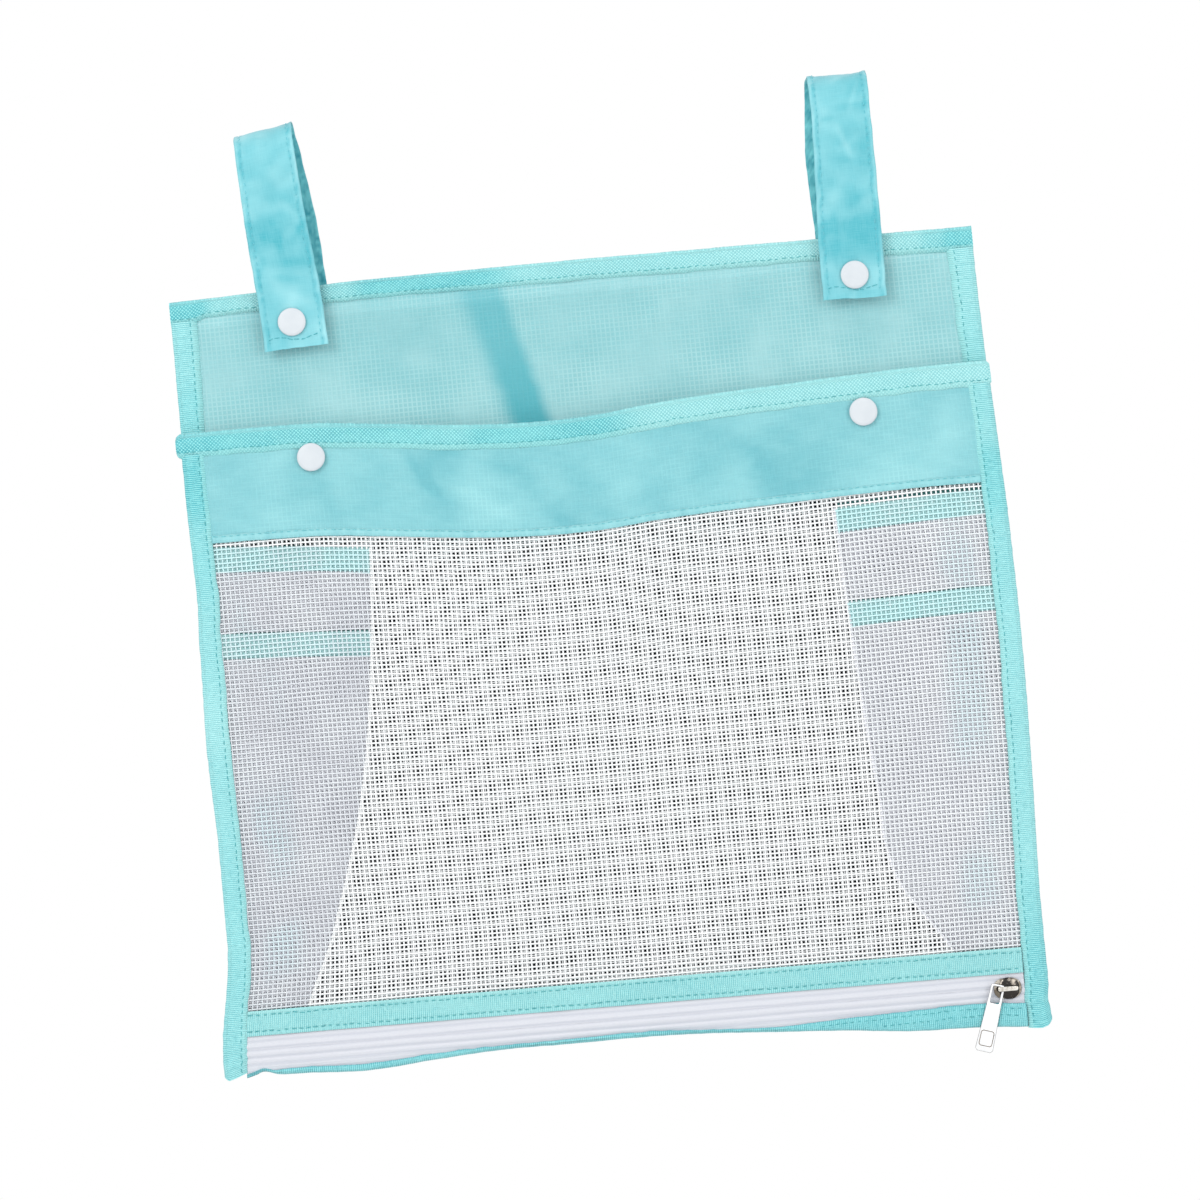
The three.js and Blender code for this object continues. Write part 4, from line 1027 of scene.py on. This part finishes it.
def add_bottom_binding():
    """One tape under the whole edge, from the front wall to the back wall."""
    xs = np.linspace(-HALF + SIDE_BINDING - 0.6, HALF - SIDE_BINDING + 0.6, 300)
    low, top = edge_reach(xs), show_top(xs)
    back_top, thick, round_high = low - 0.5 - BOTTOM_SHOW, 0.5, 1.2
    rows = [(top, FRONT_OUT), (top + 0.2, FRONT_OUT - 0.15), (mix(top, low, 0.5), FRONT_OUT - 0.22),
            (low - round_high, FRONT_OUT)]
    for r in np.radians(np.linspace(15, 165, 9)):
        y = (FRONT_OUT + BACK_OUT) / 2 - math.cos(r) * (BACK_OUT - FRONT_OUT) / 2
        rows.append((low - round_high + round_high * math.sin(r), y))
    rows += [(low - round_high, BACK_OUT), (mix(back_top, low, 0.5), BACK_OUT + 0.2), (back_top, BACK_OUT),
             (back_top, BACK_OUT - thick), (low - 1.8, BACK_OUT - thick), (low - 0.6, -3.7),
             (low - 1.8, FRONT_OUT + thick), (top, FRONT_OUT + thick)]
    pucker = 0.35 * ripple(xs, 22, 91) + 0.25 * ripple(xs, 7, 92)
    ring, uv = [], []
    for k, (d, y) in enumerate(rows):
        weight = 1 - smooth((y - FRONT_IN) / (BACK_IN - FRONT_IN))
        puff = 0.28 * waves(xs, d, 11, 93) * (0 < k < 16)
        d = d + pucker * (1 if k < 3 else 0.3)
        ring.append(hang_front(xs, d, y - puff) * weight + hang(xs, d, y) * (1 - weight))
        uv.append(np.stack([xs, np.clip(d - top, 0, 40)], -1))
    piece = tube_grid("bottom_binding_woven", np.stack(ring, 1), np.stack(uv, 1), MATS["bottom_tape"])
    bend(piece, "front_panel", BOTTOM_BEND, "tape", "bottom_front_binding", "bottom_back_binding")
    for k, inset in enumerate((2.0, 5.2)):
        keep = (low - top > inset + 2.2) & (xs > 0)
        line = hang_front(xs, top + inset + pucker * 0.5, FRONT_OUT - 0.2)[keep]
        sew(f"bottom_binding_stitches_{k + 1}", line, FORWARD, "thread", "front_panel", seed=95 + k)
    line = hang(xs, back_top + 2.0, BACK_OUT + 0.2)
    sew("bottom_binding_rear_stitches", line, REARWARD, "thread", "back_panel", seed=98)


# Cloth bands
LINING_TOP, LINING_END = 2, 100


def add_lining():
    """The cloth behind the mouth, with the relief of its doubled strip."""
    x, d = np.meshgrid(np.linspace(-HALF + 2, HALF - 2, 240), np.linspace(LINING_TOP, LINING_END, 80))
    relief = 0.16 * waves(x, d, 46, 101) + 0.1 * waves(x, d, 15, 102)
    relief = relief - 0.22 * ridge(x, d, (-34, 0), (-28, LINING_END), 3.0)
    relief = relief + 0.2 * ridge(x, d, (-22, 0), (-16, LINING_END), 3.0)
    # Tone: random unevenness; painted light lifting the cloth towards the mouth, against the shade the mouth
    # casts; a darker patch high on the left; and a lighter right end.
    tone = 0.5 + 0.22 * waves(x, d, 70, 103) + 0.14 * waves(x, d, 24, 104) + 0.4 * smooth((d - 36) / 22)
    tone = tone - 0.4 * np.exp(-(((x + 68) / 26) ** 2)) * (1 - smooth((d - 18) / 22))
    tone = tone + 0.2 * smooth((x - 130) / 12)
    points = hang(x, d, LINING + np.clip(relief, -0.38, 0.28))
    piece = cloth("lining_cloth", points, np.stack([x, d], -1), MATS["lining"], np.clip(tone, 0, 1))
    carry(piece, "back_panel", "lining", "back_lining")


# The band's creases (start, end, width, lightness) and shades (middle, width, change), set
# against tones measured in the photo
BAND_CREASES = (
    ((-79, 72), (-66, 90), 2.4, -0.8),
    ((-69, 74), (-73, 86), 2.2, -0.5),
    ((-62, 82), (-30, 104), 6.0, 0.5),
    ((-27, 88), (-5, 111), 4.5, -0.5),
    ((44, 74), (36, 112), 6.0, 0.45),
    ((66, 76), (82, 106), 6.5, -0.6),
    ((-120, 76), (-112, 104), 5.0, -0.35),
    ((104, 82), (96, 108), 5.0, -0.3),
    ((-46, 74), (-20, 84), 3.5, -0.4),
)
BAND_SHADES = ((-116, 22, 0.15), (-66, 13, -0.34), (4, 12, -0.2),
               (40, 11, -0.34), (92, 9, -0.25), (135, 14, 0.26))
HEM_SECTION = ((-3.4, -0.14), (-1.6, -0.3), (-0.2, -0.32), (0.15, -0.12), (-0.2, 0.1), (-3.4, 0.02))


def band_bottom(x):
    return MOUTH + mix(48.7, 52.3, (x + HALF) / WIDTH)


def add_band():
    x, t = np.meshgrid(np.linspace(-HALF + 2, HALF - 2, 260), np.linspace(0, 1, 70))
    d = mix(MOUTH + 2, band_bottom(x), t)
    relief = 0.18 * waves(x, d, 40, 111) + 0.1 * waves(x, d, 13, 112)
    tone = 0.54 + 0.24 * waves(x, d, 60, 117) + 0.12 * waves(x, d * 1.8, 20, 118)
    # Painted light and shade: each crease lightens or darkens the tone along its line, besides lifting the
    # cloth, and each shade lightens or darkens a stretch across the band.
    for start, end, wide, light in BAND_CREASES:
        fold = ridge(x, d, start, end, wide)
        relief = relief + 0.55 * light * fold
        tone = tone + 0.7 * light * fold
    for middle, wide, change in BAND_SHADES:
        tone = tone + change * np.exp(-(((x - middle) / wide) ** 2))
    hem = np.clip((t - 0.9) / 0.1, 0, 1)
    relief = relief * (1 - 0.6 * hem) + 0.12 * ripple(x, 6, 113) * hem
    points = hang_front(x, d, BAND - np.clip(relief, -0.25, 0.9))
    piece = cloth("band_cloth", points, np.stack([x, d], -1), MATS["band"], np.clip(tone, 0, 1))
    carry(piece, "front_panel", "taffeta", "front_band")
    xs = np.linspace(-HALF + SIDE_BINDING, HALF - SIDE_BINDING, 300)
    edge, count = band_bottom(xs), len(HEM_SECTION)
    rolled = [hang_front(xs, edge + off + 0.12 * ripple(xs, 9, 114), BAND + y) for off, y in HEM_SECTION]
    uv = np.stack(np.broadcast_arrays(xs[:, None], np.arange(count)[None] * 0.6), -1).astype(float)
    tone = np.repeat((0.9 + 0.3 * ripple(xs, 7, 119))[:, None], count, 1)
    hem_piece = tube_grid("band_hem", np.stack(rolled, 1), uv, MATS["band"], tone)
    carry(hem_piece, "front_panel", "taffeta")
    line = hang_front(xs, edge - 2.7 + 0.15 * ripple(xs, 20, 115), BAND - 0.3)
    row = sew("band_hem_stitches", line, FORWARD, "thread_pale", "front_panel", "taffeta", seed=116)


# Zip
def ribbon(name, xs, top, bottom, y, thick, ridges, mat, seed):
    """A flat tape along the zip, with lengthwise ridges at given distances from its top."""
    top, bottom = np.broadcast_to(top, xs.shape), np.broadcast_to(bottom, xs.shape)
    d = mix(top[:, None], bottom[:, None], np.linspace(0, 1, 40)[None])
    xx = np.broadcast_to(xs[:, None], d.shape)
    lift = 0.1 * waves(xx, d, 30, seed)
    for at, high, wide in ridges:
        lift = lift + high * np.exp(-(((d - top[:, None] - at) / wide) ** 2))
    face, rear = hang_front(xx, d, y - thick / 2 - lift), hang_front(xx, d, y + thick / 2 - lift)
    uv = np.stack([xx, d - top[:, None]], -1)
    rings = np.concatenate([face, rear[:, ::-1]], 1)
    return tube_grid(name, rings, np.concatenate([uv, uv[:, ::-1]], 1), mat)


def helix(name, xs, d, mat):
    """A nylon coil along the zip line."""
    turns = (xs[-1] - xs[0]) / COIL_PITCH
    t = np.linspace(0, 1, int(turns * 12))
    a = 2 * math.pi * turns * t
    centre = hang_front(mix(xs[0], xs[-1], t), d + COIL_HIGH * np.cos(a), COIL_Y + COIL_DEEP * np.sin(a))
    along = np.gradient(centre, axis=0)
    along /= np.linalg.norm(along, axis=1, keepdims=True)
    side = np.cross(along, np.array([1.0, 0, 0]))
    side /= np.linalg.norm(side, axis=1, keepdims=True)
    up = np.cross(side, along)
    angles = np.linspace(0, 2 * math.pi, 5, endpoint=False)
    rings = np.stack([centre + (side * math.cos(b) + up * math.sin(b)) * 0.00026 for b in angles], 1)
    return tube_grid(name, rings, np.zeros(rings.shape[:2] + (2,)), mat)


def add_zip():
    inner = np.linspace(-HALF + SIDE_BINDING - 0.6, HALF - SIDE_BINDING + 0.6, 200)
    for node, top, bottom, y, thick, ridges, mat, slot, seed in (
        ("zip_upper_tape", ZIP - 13.3, ZIP + 0.12, FRONT_NET, 0.45, [(9.8, -0.12, 0.4), (11.6, 0.42, 1.2)],
         "zip", "zip_tape", 121),
        ("zip_lower_tape", ZIP - 0.12, edge_reach(inner) - 1.1, FRONT_NET, 0.45,
         [(1.6, 0.42, 1.2), (3.6, -0.12, 0.4), (4.8, 0.2, 0.7)], "zip", "zip_tape", 122),
        ("zip_trim", TRIM_TOP, TRIM_TOP + TRIM_HIGH, TRIM, 0.42,
         [(0.7, 0.12, 0.6), (1.9, -0.14, 0.5), (9.0, -0.14, 0.5), (10.2, 0.14, 0.6)], "trim", "tape", 123),
    ):
        piece = ribbon(node + "_woven", inner, top, bottom, y, thick, ridges, MATS[mat], seed)
        carry(piece, "front_panel", slot, node)
    for node, shift, d in (("zip_upper_coil", 0, ZIP - 1.0), ("zip_lower_coil", 0.67, ZIP + 1.0)):
        coil = helix(node + "_wound", inner + shift, d, MATS["coil"])
        carry(coil, "front_panel", "coil", node)
    for k, at in enumerate((1.9, 9.0)):
        line = hang_front(inner, TRIM_TOP + at + 0.2 * ripple(inner, 26, 125 + k), TRIM - 0.3)
        sew(f"zip_trim_stitches_{k + 1}", line, FORWARD, "thread", "front_panel", seed=127 + k)


# Hanging loops
SEWN_DROP, STRAP_RADIUS, REAR_Y, FRONT_Y = 8.3, 13.4, 2.4, -6.4


def strap_line(tail_drop):
    """The strip's middle line (y, z), from the rear leg's end over the rail to the front tail."""
    settled, split, tail_z = TOP_Z - 3, -RAIL, TOP_Z - tail_drop
    z = np.linspace(split, settled, 40)
    ease = smooth((split - z) / (split - settled))
    turn = np.linspace(0.06, math.pi - 0.06, 36)
    rear = [(REAR_Y, TOP_Z - SEWN_DROP)] + list(zip(mix(STRAP_RADIUS, REAR_Y, ease), z))[::-1]
    arc = [(STRAP_RADIUS * math.cos(a), split + STRAP_RADIUS * math.sin(a)) for a in turn]
    front = list(zip(mix(-STRAP_RADIUS, FRONT_Y, ease), z))
    front += [(FRONT_Y, mix(settled, tail_z, t)) for t in np.linspace(0.12, 1, 9)]
    return np.array(rear + arc + front)


def bell(x, wide):
    return np.exp(-((x / wide) ** 2))


def add_strap(side, crown_x, tail_x, sewn_x, tail_drop, tip, tail_tip, twist, dark_at, seed):
    """A crumpled strip over the rail; dark_at is a shaded zone's distance from the tail."""
    line = strap_line(tail_drop)
    run = np.concatenate([[0], np.cumsum(np.linalg.norm(np.diff(line, axis=0), axis=1))])
    y, z = line[:, 0], line[:, 1]
    to_tail = crown_x + (tail_x - crown_x) * np.clip(z / (TOP_Z - tail_drop), 0, 1)
    to_sewn = crown_x + (sewn_x - crown_x) * np.clip(z / (TOP_Z - SEWN_DROP), 0, 1)
    centre = mix(to_tail, to_sewn, smooth((y + 12) / 24)) + twist * smooth(y / 12) * np.clip(-z / 30, 0.5, 1)
    tangent = np.gradient(line, axis=0)
    tangent /= np.linalg.norm(tangent, axis=1, keepdims=True)
    out = np.stack([-tangent[:, 1], tangent[:, 0]], 1)
    across = np.linspace(-1, 1, 33)
    u, v = np.meshgrid(run, across * STRAP_WIDE / 2, indexing="ij")
    edge = np.abs(across)[None]
    tail = np.clip((run[-1] - run)[:, None] / 7, 0, 1)
    creased = crumple(v, u, STRAP_WIDE, run[-1], 60, seed + 5)
    pucker = waves(u, v, 4.2, seed + 2) * bell(edge - 0.86, 0.09)
    relief = 0.4 * waves(u, v, 34, seed) + 0.22 * waves(u, v, 12, seed + 1) + 0.26 * creased
    relief = (relief + 0.46 * pucker - 0.3 * edge**6) * (0.3 + 0.7 * tail)
    # Painted light and shade: the tone follows the creases and edge puckers, darkens a line inside each
    # hemmed edge, lightens its folded edge, and darkens a shaded zone dark_at from the tail.
    tone = 0.44 + 0.18 * waves(u, v, 30, seed + 6) + 0.3 * creased + 0.4 * pucker
    tone = tone - 0.2 * bell(edge - 0.84, 0.05) + 0.25 * bell(edge - 0.97, 0.04)
    tone = tone - 0.5 * bell(u - run[-1] + dark_at, 12) * (0.6 + 0.4 * waves(u, v, 18, seed + 8))
    tone = np.clip(tone, 0, 1)
    half = 0.24 + 0.1 * bell(edge - 0.95, 0.06) + 0 * u
    lean = (tip * smooth((z + 62) / 50) + tail_tip * smooth((-72 - z) / 22) * (y < 0))[:, None]
    frayed = 0.5 * ripple(v, 14, seed + 11) * (1 - tail) ** 2
    width = v * (1 + 0.018 * waves(u, 0 * v, 16, seed + 3) + 0.08 * smooth((u - run[-1] + 85) / 65))
    faces = []
    for sign in (1, -1):
        offset = relief + sign * half
        py = y[:, None] + out[:, 0:1] * offset
        pz = z[:, None] + out[:, 1:2] * offset + lean * width + frayed
        faces.append(np.stack([centre[:, None] + width, py, pz], -1) * 0.001)
    crown = (y > -5) & (y < 5) & (z > -5)
    outer = 0 if np.mean(out[:, 1][crown]) > 0 else 1
    # Painted shade: the inner face gets a mottled darker tone.
    inner_face_shade = np.clip(0.45 + 0.5 * waves(u, v, 8, seed + 9) + 0.35 * waves(u, v, 2.6, seed + 10), 0, 1)
    sides = [np.stack([tone, 0 * tone], -1), np.stack([inner_face_shade, 0 * tone + 0.9], -1)]
    if outer == 1:
        sides = sides[::-1]
    uv = np.stack([v + 13, u], -1)
    rings, uv, tones = (np.concatenate([a, b[:, ::-1]], 1) for a, b in (faces, (uv, uv), sides))
    piece = tube_grid(side + "_strap_cloth", rings, uv, MATS["strap"], tones)
    body = side + "_strap"
    bend(piece, body, STRAP_BEND, "taffeta", side + "_strap_back", side + "_strap_front")
    grid = faces[outer]
    normals = np.pad(out * (1 if outer == 0 else -1), ((0, 0), (1, 0)))
    for key, col in (("a", 3), ("b", 29)):
        row = stitches(f"{side}_strap_stitches_{key}", grid[:, col] + normals * 0.0001, normals,
                       MATS["thread_strap"], long=1.7, thick=0.34, seed=seed + col)
        bend(row, body, STRAP_BEND, "taffeta")
    at = run[-1] - 4.4
    hem = np.array([[np.interp(at, run, grid[:, j, i]) for i in range(3)] for j in range(2, 31)])
    hem[:, 2] += 0.0009 * np.sin(np.linspace(0, 2.6 * math.pi, len(hem)))
    sew(side + "_strap_hem_stitches", hem + np.array([0, -0.0001, 0]), FORWARD, "thread_hem", body, "taffeta",
        pitch=2.9, long=2.3, thick=0.46, seed=seed + 40)


# Snaps
def turned(name, profile, x, z, mat, sides=56):
    """A turned piece along Y from (radius, y) pairs in millimetres."""
    profile = np.array(profile, float)
    a = np.linspace(0, 2 * math.pi, sides, endpoint=False)
    r, y = np.maximum(profile[:, 0:1], 1e-4), profile[:, 1:2]
    rings = np.stack([x + r * np.cos(a), y + 0 * a, z + r * np.sin(a)], -1) * 0.001
    return tube_grid(name, rings, np.zeros(rings.shape[:2] + (2,)), mat)


def rounded(points, radius):
    """Rounds the corners of a profile whose first and last points stay put."""
    points = [np.array(p, float) for p in points]
    made = [points[0]]
    for before, at, after in zip(points, points[1:], points[2:]):
        a, b = before - at, after - at
        la, lb = np.linalg.norm(a), np.linalg.norm(b)
        r = min(radius, la * 0.45, lb * 0.45)
        if at[0] < 0.01 or r < 0.02:
            made.append(at)
            continue
        p, q = at + a / la * r, at + b / lb * r
        for t in np.linspace(0, 1, 5):
            made.append((1 - t) ** 2 * p + 2 * t * (1 - t) * at + t * t * q)
    made.append(points[-1])
    return made


def add_snap(name, x, z, outer_face, outer_back, panel_front, panel_back, outer_body):
    """Cap and socket on the outer cloth, stud and back cap on the panel; profiles are (radius, y)."""
    clearance, base = 0.3, 5.2
    cap_back = outer_face - clearance
    cap = [(0, outer_back), (1.2, outer_back), (1.2, cap_back), (6.0, cap_back), (6.2, cap_back - 0.35),
           (5.95, cap_back - 0.85), (5.0, cap_back - 1.2), (2.5, cap_back - 1.36), (0, cap_back - 1.4)]
    base_back = panel_front - clearance
    base_front = base_back - 1.4
    socket_front, socket_back = outer_back + clearance, base_front - clearance
    socket = [(0, socket_front), (base, socket_front), (base, socket_back - 0.4), (4.4, socket_back),
              (3.2, socket_back), (2.6, socket_back - 0.25), (2.6, socket_front + 0.8),
              (0, socket_front + 0.8)]
    tip = max(socket_back - 1.8, socket_front + 1.1)
    stud = [(0, base_back), (base, base_back), (base, base_front + 0.5), (4.2, base_front), (2.0, base_front),
            (1.8, (base_front + tip) / 2), (2.0, tip + 0.5), (1.6, tip), (0, tip)]
    rear = panel_back + clearance
    back_cap = [(0, panel_front), (1.2, panel_front), (1.2, rear), (base, rear), (base, rear + 0.5),
                (4.7, rear + 0.95), (0, rear + 1.0)]
    for part, profile, body in (("cap", cap, outer_body), ("socket", socket, outer_body),
                                ("stud", stud, "back_panel"), ("back_cap", back_cap, "back_panel")):
        piece = turned(f"{name}_{part}_moulded", rounded(profile, 0.28), x, z, MATS["snap"])
        carry(piece, body, "snap", f"{name}_{part}")


def add_snaps():
    """Each snap sits where its CAD cap does."""
    for side in SIGNS:
        for kind, levels, body in (("strap", (-6.8, -6.0, BACK_IN, BACK_OUT), side + "_strap"),
                                   ("mouth", (FRONT_OUT, FRONT_IN, -0.1, 0.9), "front_panel")):
            name = f"{side}_{kind}_snap"
            low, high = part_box(name + "_cap")
            add_snap(name, (low.x + high.x) * 500, (low.z + high.z) * 500, *levels, body)


# Slider and pull
def plate_piece(name, outline, low, high, mat, holes=(), bevel=0.25):
    """A flat plate in the XZ plane, in its own millimetre frame, with rounded edges."""
    data = bpy.data.curves.new(name, "CURVE")
    data.dimensions, data.fill_mode = "2D", "BOTH"
    for loop in (outline, *holes):
        spline = data.splines.new("POLY")
        spline.points.add(len(loop) - 1)
        for point, (x, z) in zip(spline.points, loop):
            point.co = (x * 0.001, z * 0.001, 0, 1)
        spline.use_cyclic_u = True
    data.extrude = max((high - low) * 0.001 / 2 - bevel * 0.001, 1e-6)
    data.bevel_depth, data.bevel_resolution = bevel * 0.001, 3
    data.offset = -bevel * 0.001
    made = placed(name + "_curve", data)
    mesh = bpy.data.meshes.new_from_object(made.evaluated_get(bpy.context.evaluated_depsgraph_get()))
    bpy.data.objects.remove(made)
    mesh.transform(Matrix.Translation((0, (low + high) * 0.0005, 0)) @ UPRIGHT)
    work = bmesh.new()
    work.from_mesh(mesh)
    bmesh.ops.remove_doubles(work, verts=work.verts, dist=1e-6)
    bmesh.ops.recalc_face_normals(work, faces=work.faces)
    work.to_mesh(mesh)
    work.free()
    mesh.materials.clear()
    mesh.materials.append(MATS[mat])
    return placed(name, mesh)


def round_box(wide, high, corner, steps=8, cx=0.0, cz=0.0):
    points = []
    for k, (sx, sz) in enumerate(((1, 1), (-1, 1), (-1, -1), (1, -1))):
        for a in np.linspace(0, math.pi / 2, steps):
            r = a + k * math.pi / 2
            points.append((cx + sx * (wide / 2 - corner) + corner * math.cos(r),
                           cz + sz * (high / 2 - corner) + corner * math.sin(r)))
    return points


def settle(obj, matrix, body, *nodes):
    """Places a hardware piece in the row frame and makes it ride."""
    obj.data.transform(matrix)
    for face in obj.data.polygons:
        face.use_smooth = True
    obj.data.set_sharp_from_angle(angle=math.radians(40))
    carry(obj, body, "nickel", *nodes)


def domed_plate(name, wide, high, front, back, cx, mat):
    """A rounded shell, crowned towards its middle."""
    rings = []
    for share, lift in DOME:
        loop = round_box(wide * share, high * share, min(wide, high) * 0.44 * share, 10)
        rings.append([(cx + x, back + (front - back) * lift, z) for x, z in loop])
    rings = np.array(rings)
    return tube_grid(name, rings * 0.001, np.zeros(rings.shape[:2] + (2,)), MATS[mat])


SLIDER_INSET, FOOT_OUT, PULL_HANGS = 16.5, 3.5, 18

# Profiles: the dome's (share of its size, share of its height), and a foot's (radius, y)
DOME = ((1.0, 0.0), (1.0, 0.3), (0.93, 0.62), (0.8, 0.82), (0.55, 0.95), (0.25, 1.0), (0.02, 1.0))
FOOT = [(0, -8.6), (1.5, -8.6), (1.25, -9.4), (0.95, -10.2), (0.9, -11.2), (0, -11.2)]


def add_slider():
    slope = math.atan2(DROP * ZIP / HEIGHT, WIDTH)
    spot = hang_front(np.array(HALF - SLIDER_INSET), np.array(ZIP), np.array(0.0))
    base = Matrix.Translation(Vector(spot)) @ Matrix.Rotation(slope, 4, "Y")
    settle(plate_piece("slider_front_plate", round_box(12.1, 8.8, 3.9), -8.75, -8.1, "nose", bevel=0.2),
           base, "slider", "slider_body")
    post = round_box(3.0, 0.8, 0.3, 4, 3.35, 0)
    parts = [domed_plate("slider_dome", 8.9, 9.4, -9.5, -8.5, 0.6, "plate"),
             plate_piece("slider_rear_plate", round_box(12.1, 9.4, 4.0), -5.1, -4.1, "bridge"),
             plate_piece("slider_post", post, -8.4, -4.8, "bridge", bevel=0.1)]
    for key, cz in (("upper", 4.3), ("lower", -4.3)):
        outline = round_box(5.4, 0.7, 0.25, 4, 0, cz)
        parts.append(plate_piece(f"slider_{key}_flange", outline, -6.6, -4.6, "bridge", bevel=0.15))
    for side, sign in SIGNS.items():
        foot = rounded(FOOT, 0.15)
        parts.append(turned(f"slider_{side}_foot", foot, sign * FOOT_OUT, 0, MATS["bridge"], 28))
    parts.append(plate_piece("slider_bridge", round_box(9.0, 2.1, 0.9), -11.9, -10.9, "bridge", bevel=0.3))
    for part in parts:
        settle(part, base, "slider")
    hinge = base @ Matrix.Translation((-FOOT_OUT / 1000, 0, 0))
    add_pull(hinge @ Matrix.Rotation(math.radians(PULL_HANGS) - slope, 4, "Y"))


def add_pull(pivot):
    """A tapered plate with an eye round the slider's bridge and a plain rounded outline near its end, a thin
    dark ring of painted shade.
    """
    centre, top, end = 1.9 - 3.0, 1.9, 1.9 - 30
    shoulder = top - 1
    outline = [(centre - 3, shoulder), (centre - 3.9, end + 1), (centre - 2.9, end), (centre + 2.9, end),
               (centre + 3.9, end + 1), (centre + 3, shoulder)]
    right, left = np.linspace(0.2, math.pi / 2, 5), np.linspace(math.pi / 2, math.pi - 0.2, 5)
    outline += [(centre + 3 + math.cos(a) - 1, shoulder + math.sin(a)) for a in right]
    outline += [(centre - 3 + 1 + math.cos(a), shoulder + math.sin(a)) for a in left]
    eye = round_box(4.0, 7.4, 0.5, 4, centre, shoulder - 3.7)
    plate = plate_piece("zip_pull_plate", outline, -10.7, -9.7, "pull", [eye], 0.36)
    settle(plate, pivot, "pull", "zip_pull")
    # Painted shade: a thin dark ring laid on the pull's face stands in for the shade of a debossed outline.
    sizes = ((6.0, 7.0, 1.2), (5.3, 6.3, 0.95))
    ring = [round_box(wide, high, corner, 6, centre, end + 5.9) for wide, high, corner in sizes]
    rim = plate_piece("zip_pull_rim", ring[0], -10.76, -10.65, "groove", ring[1:], 0.03)
    settle(rim, pivot, "pull")


add_camera()
add_world()
add_light("key", (-1.0, -1.7, 0.8), 1.3, 17)
add_light("fill", (1.1, -1.6, 0.1), 1.4, 8)
add_floor()
add_dark_card()
add_panel_nets()
for side_name in SIGNS:
    add_gusset(side_name)
    for tape_name, tape_top in zip(("upper", "lower"), GUSSET_TAPES[side_name]):
        add_gusset_tape(side_name, tape_name, tape_top)
add_bindings()
add_bottom_binding()
add_lining()
add_band()
add_zip()
add_strap("left", -128.4, -123.3, -115.9, 25.3, 0.15, 0.03, 0.0, 50, 201)
add_strap("right", 123.7, 123.1, 119.9, 26.9, 0.03, -0.04, -1.6, 30, 251)
add_snaps()
add_slider()

bpy.context.scene.view_settings.view_transform = "Standard"
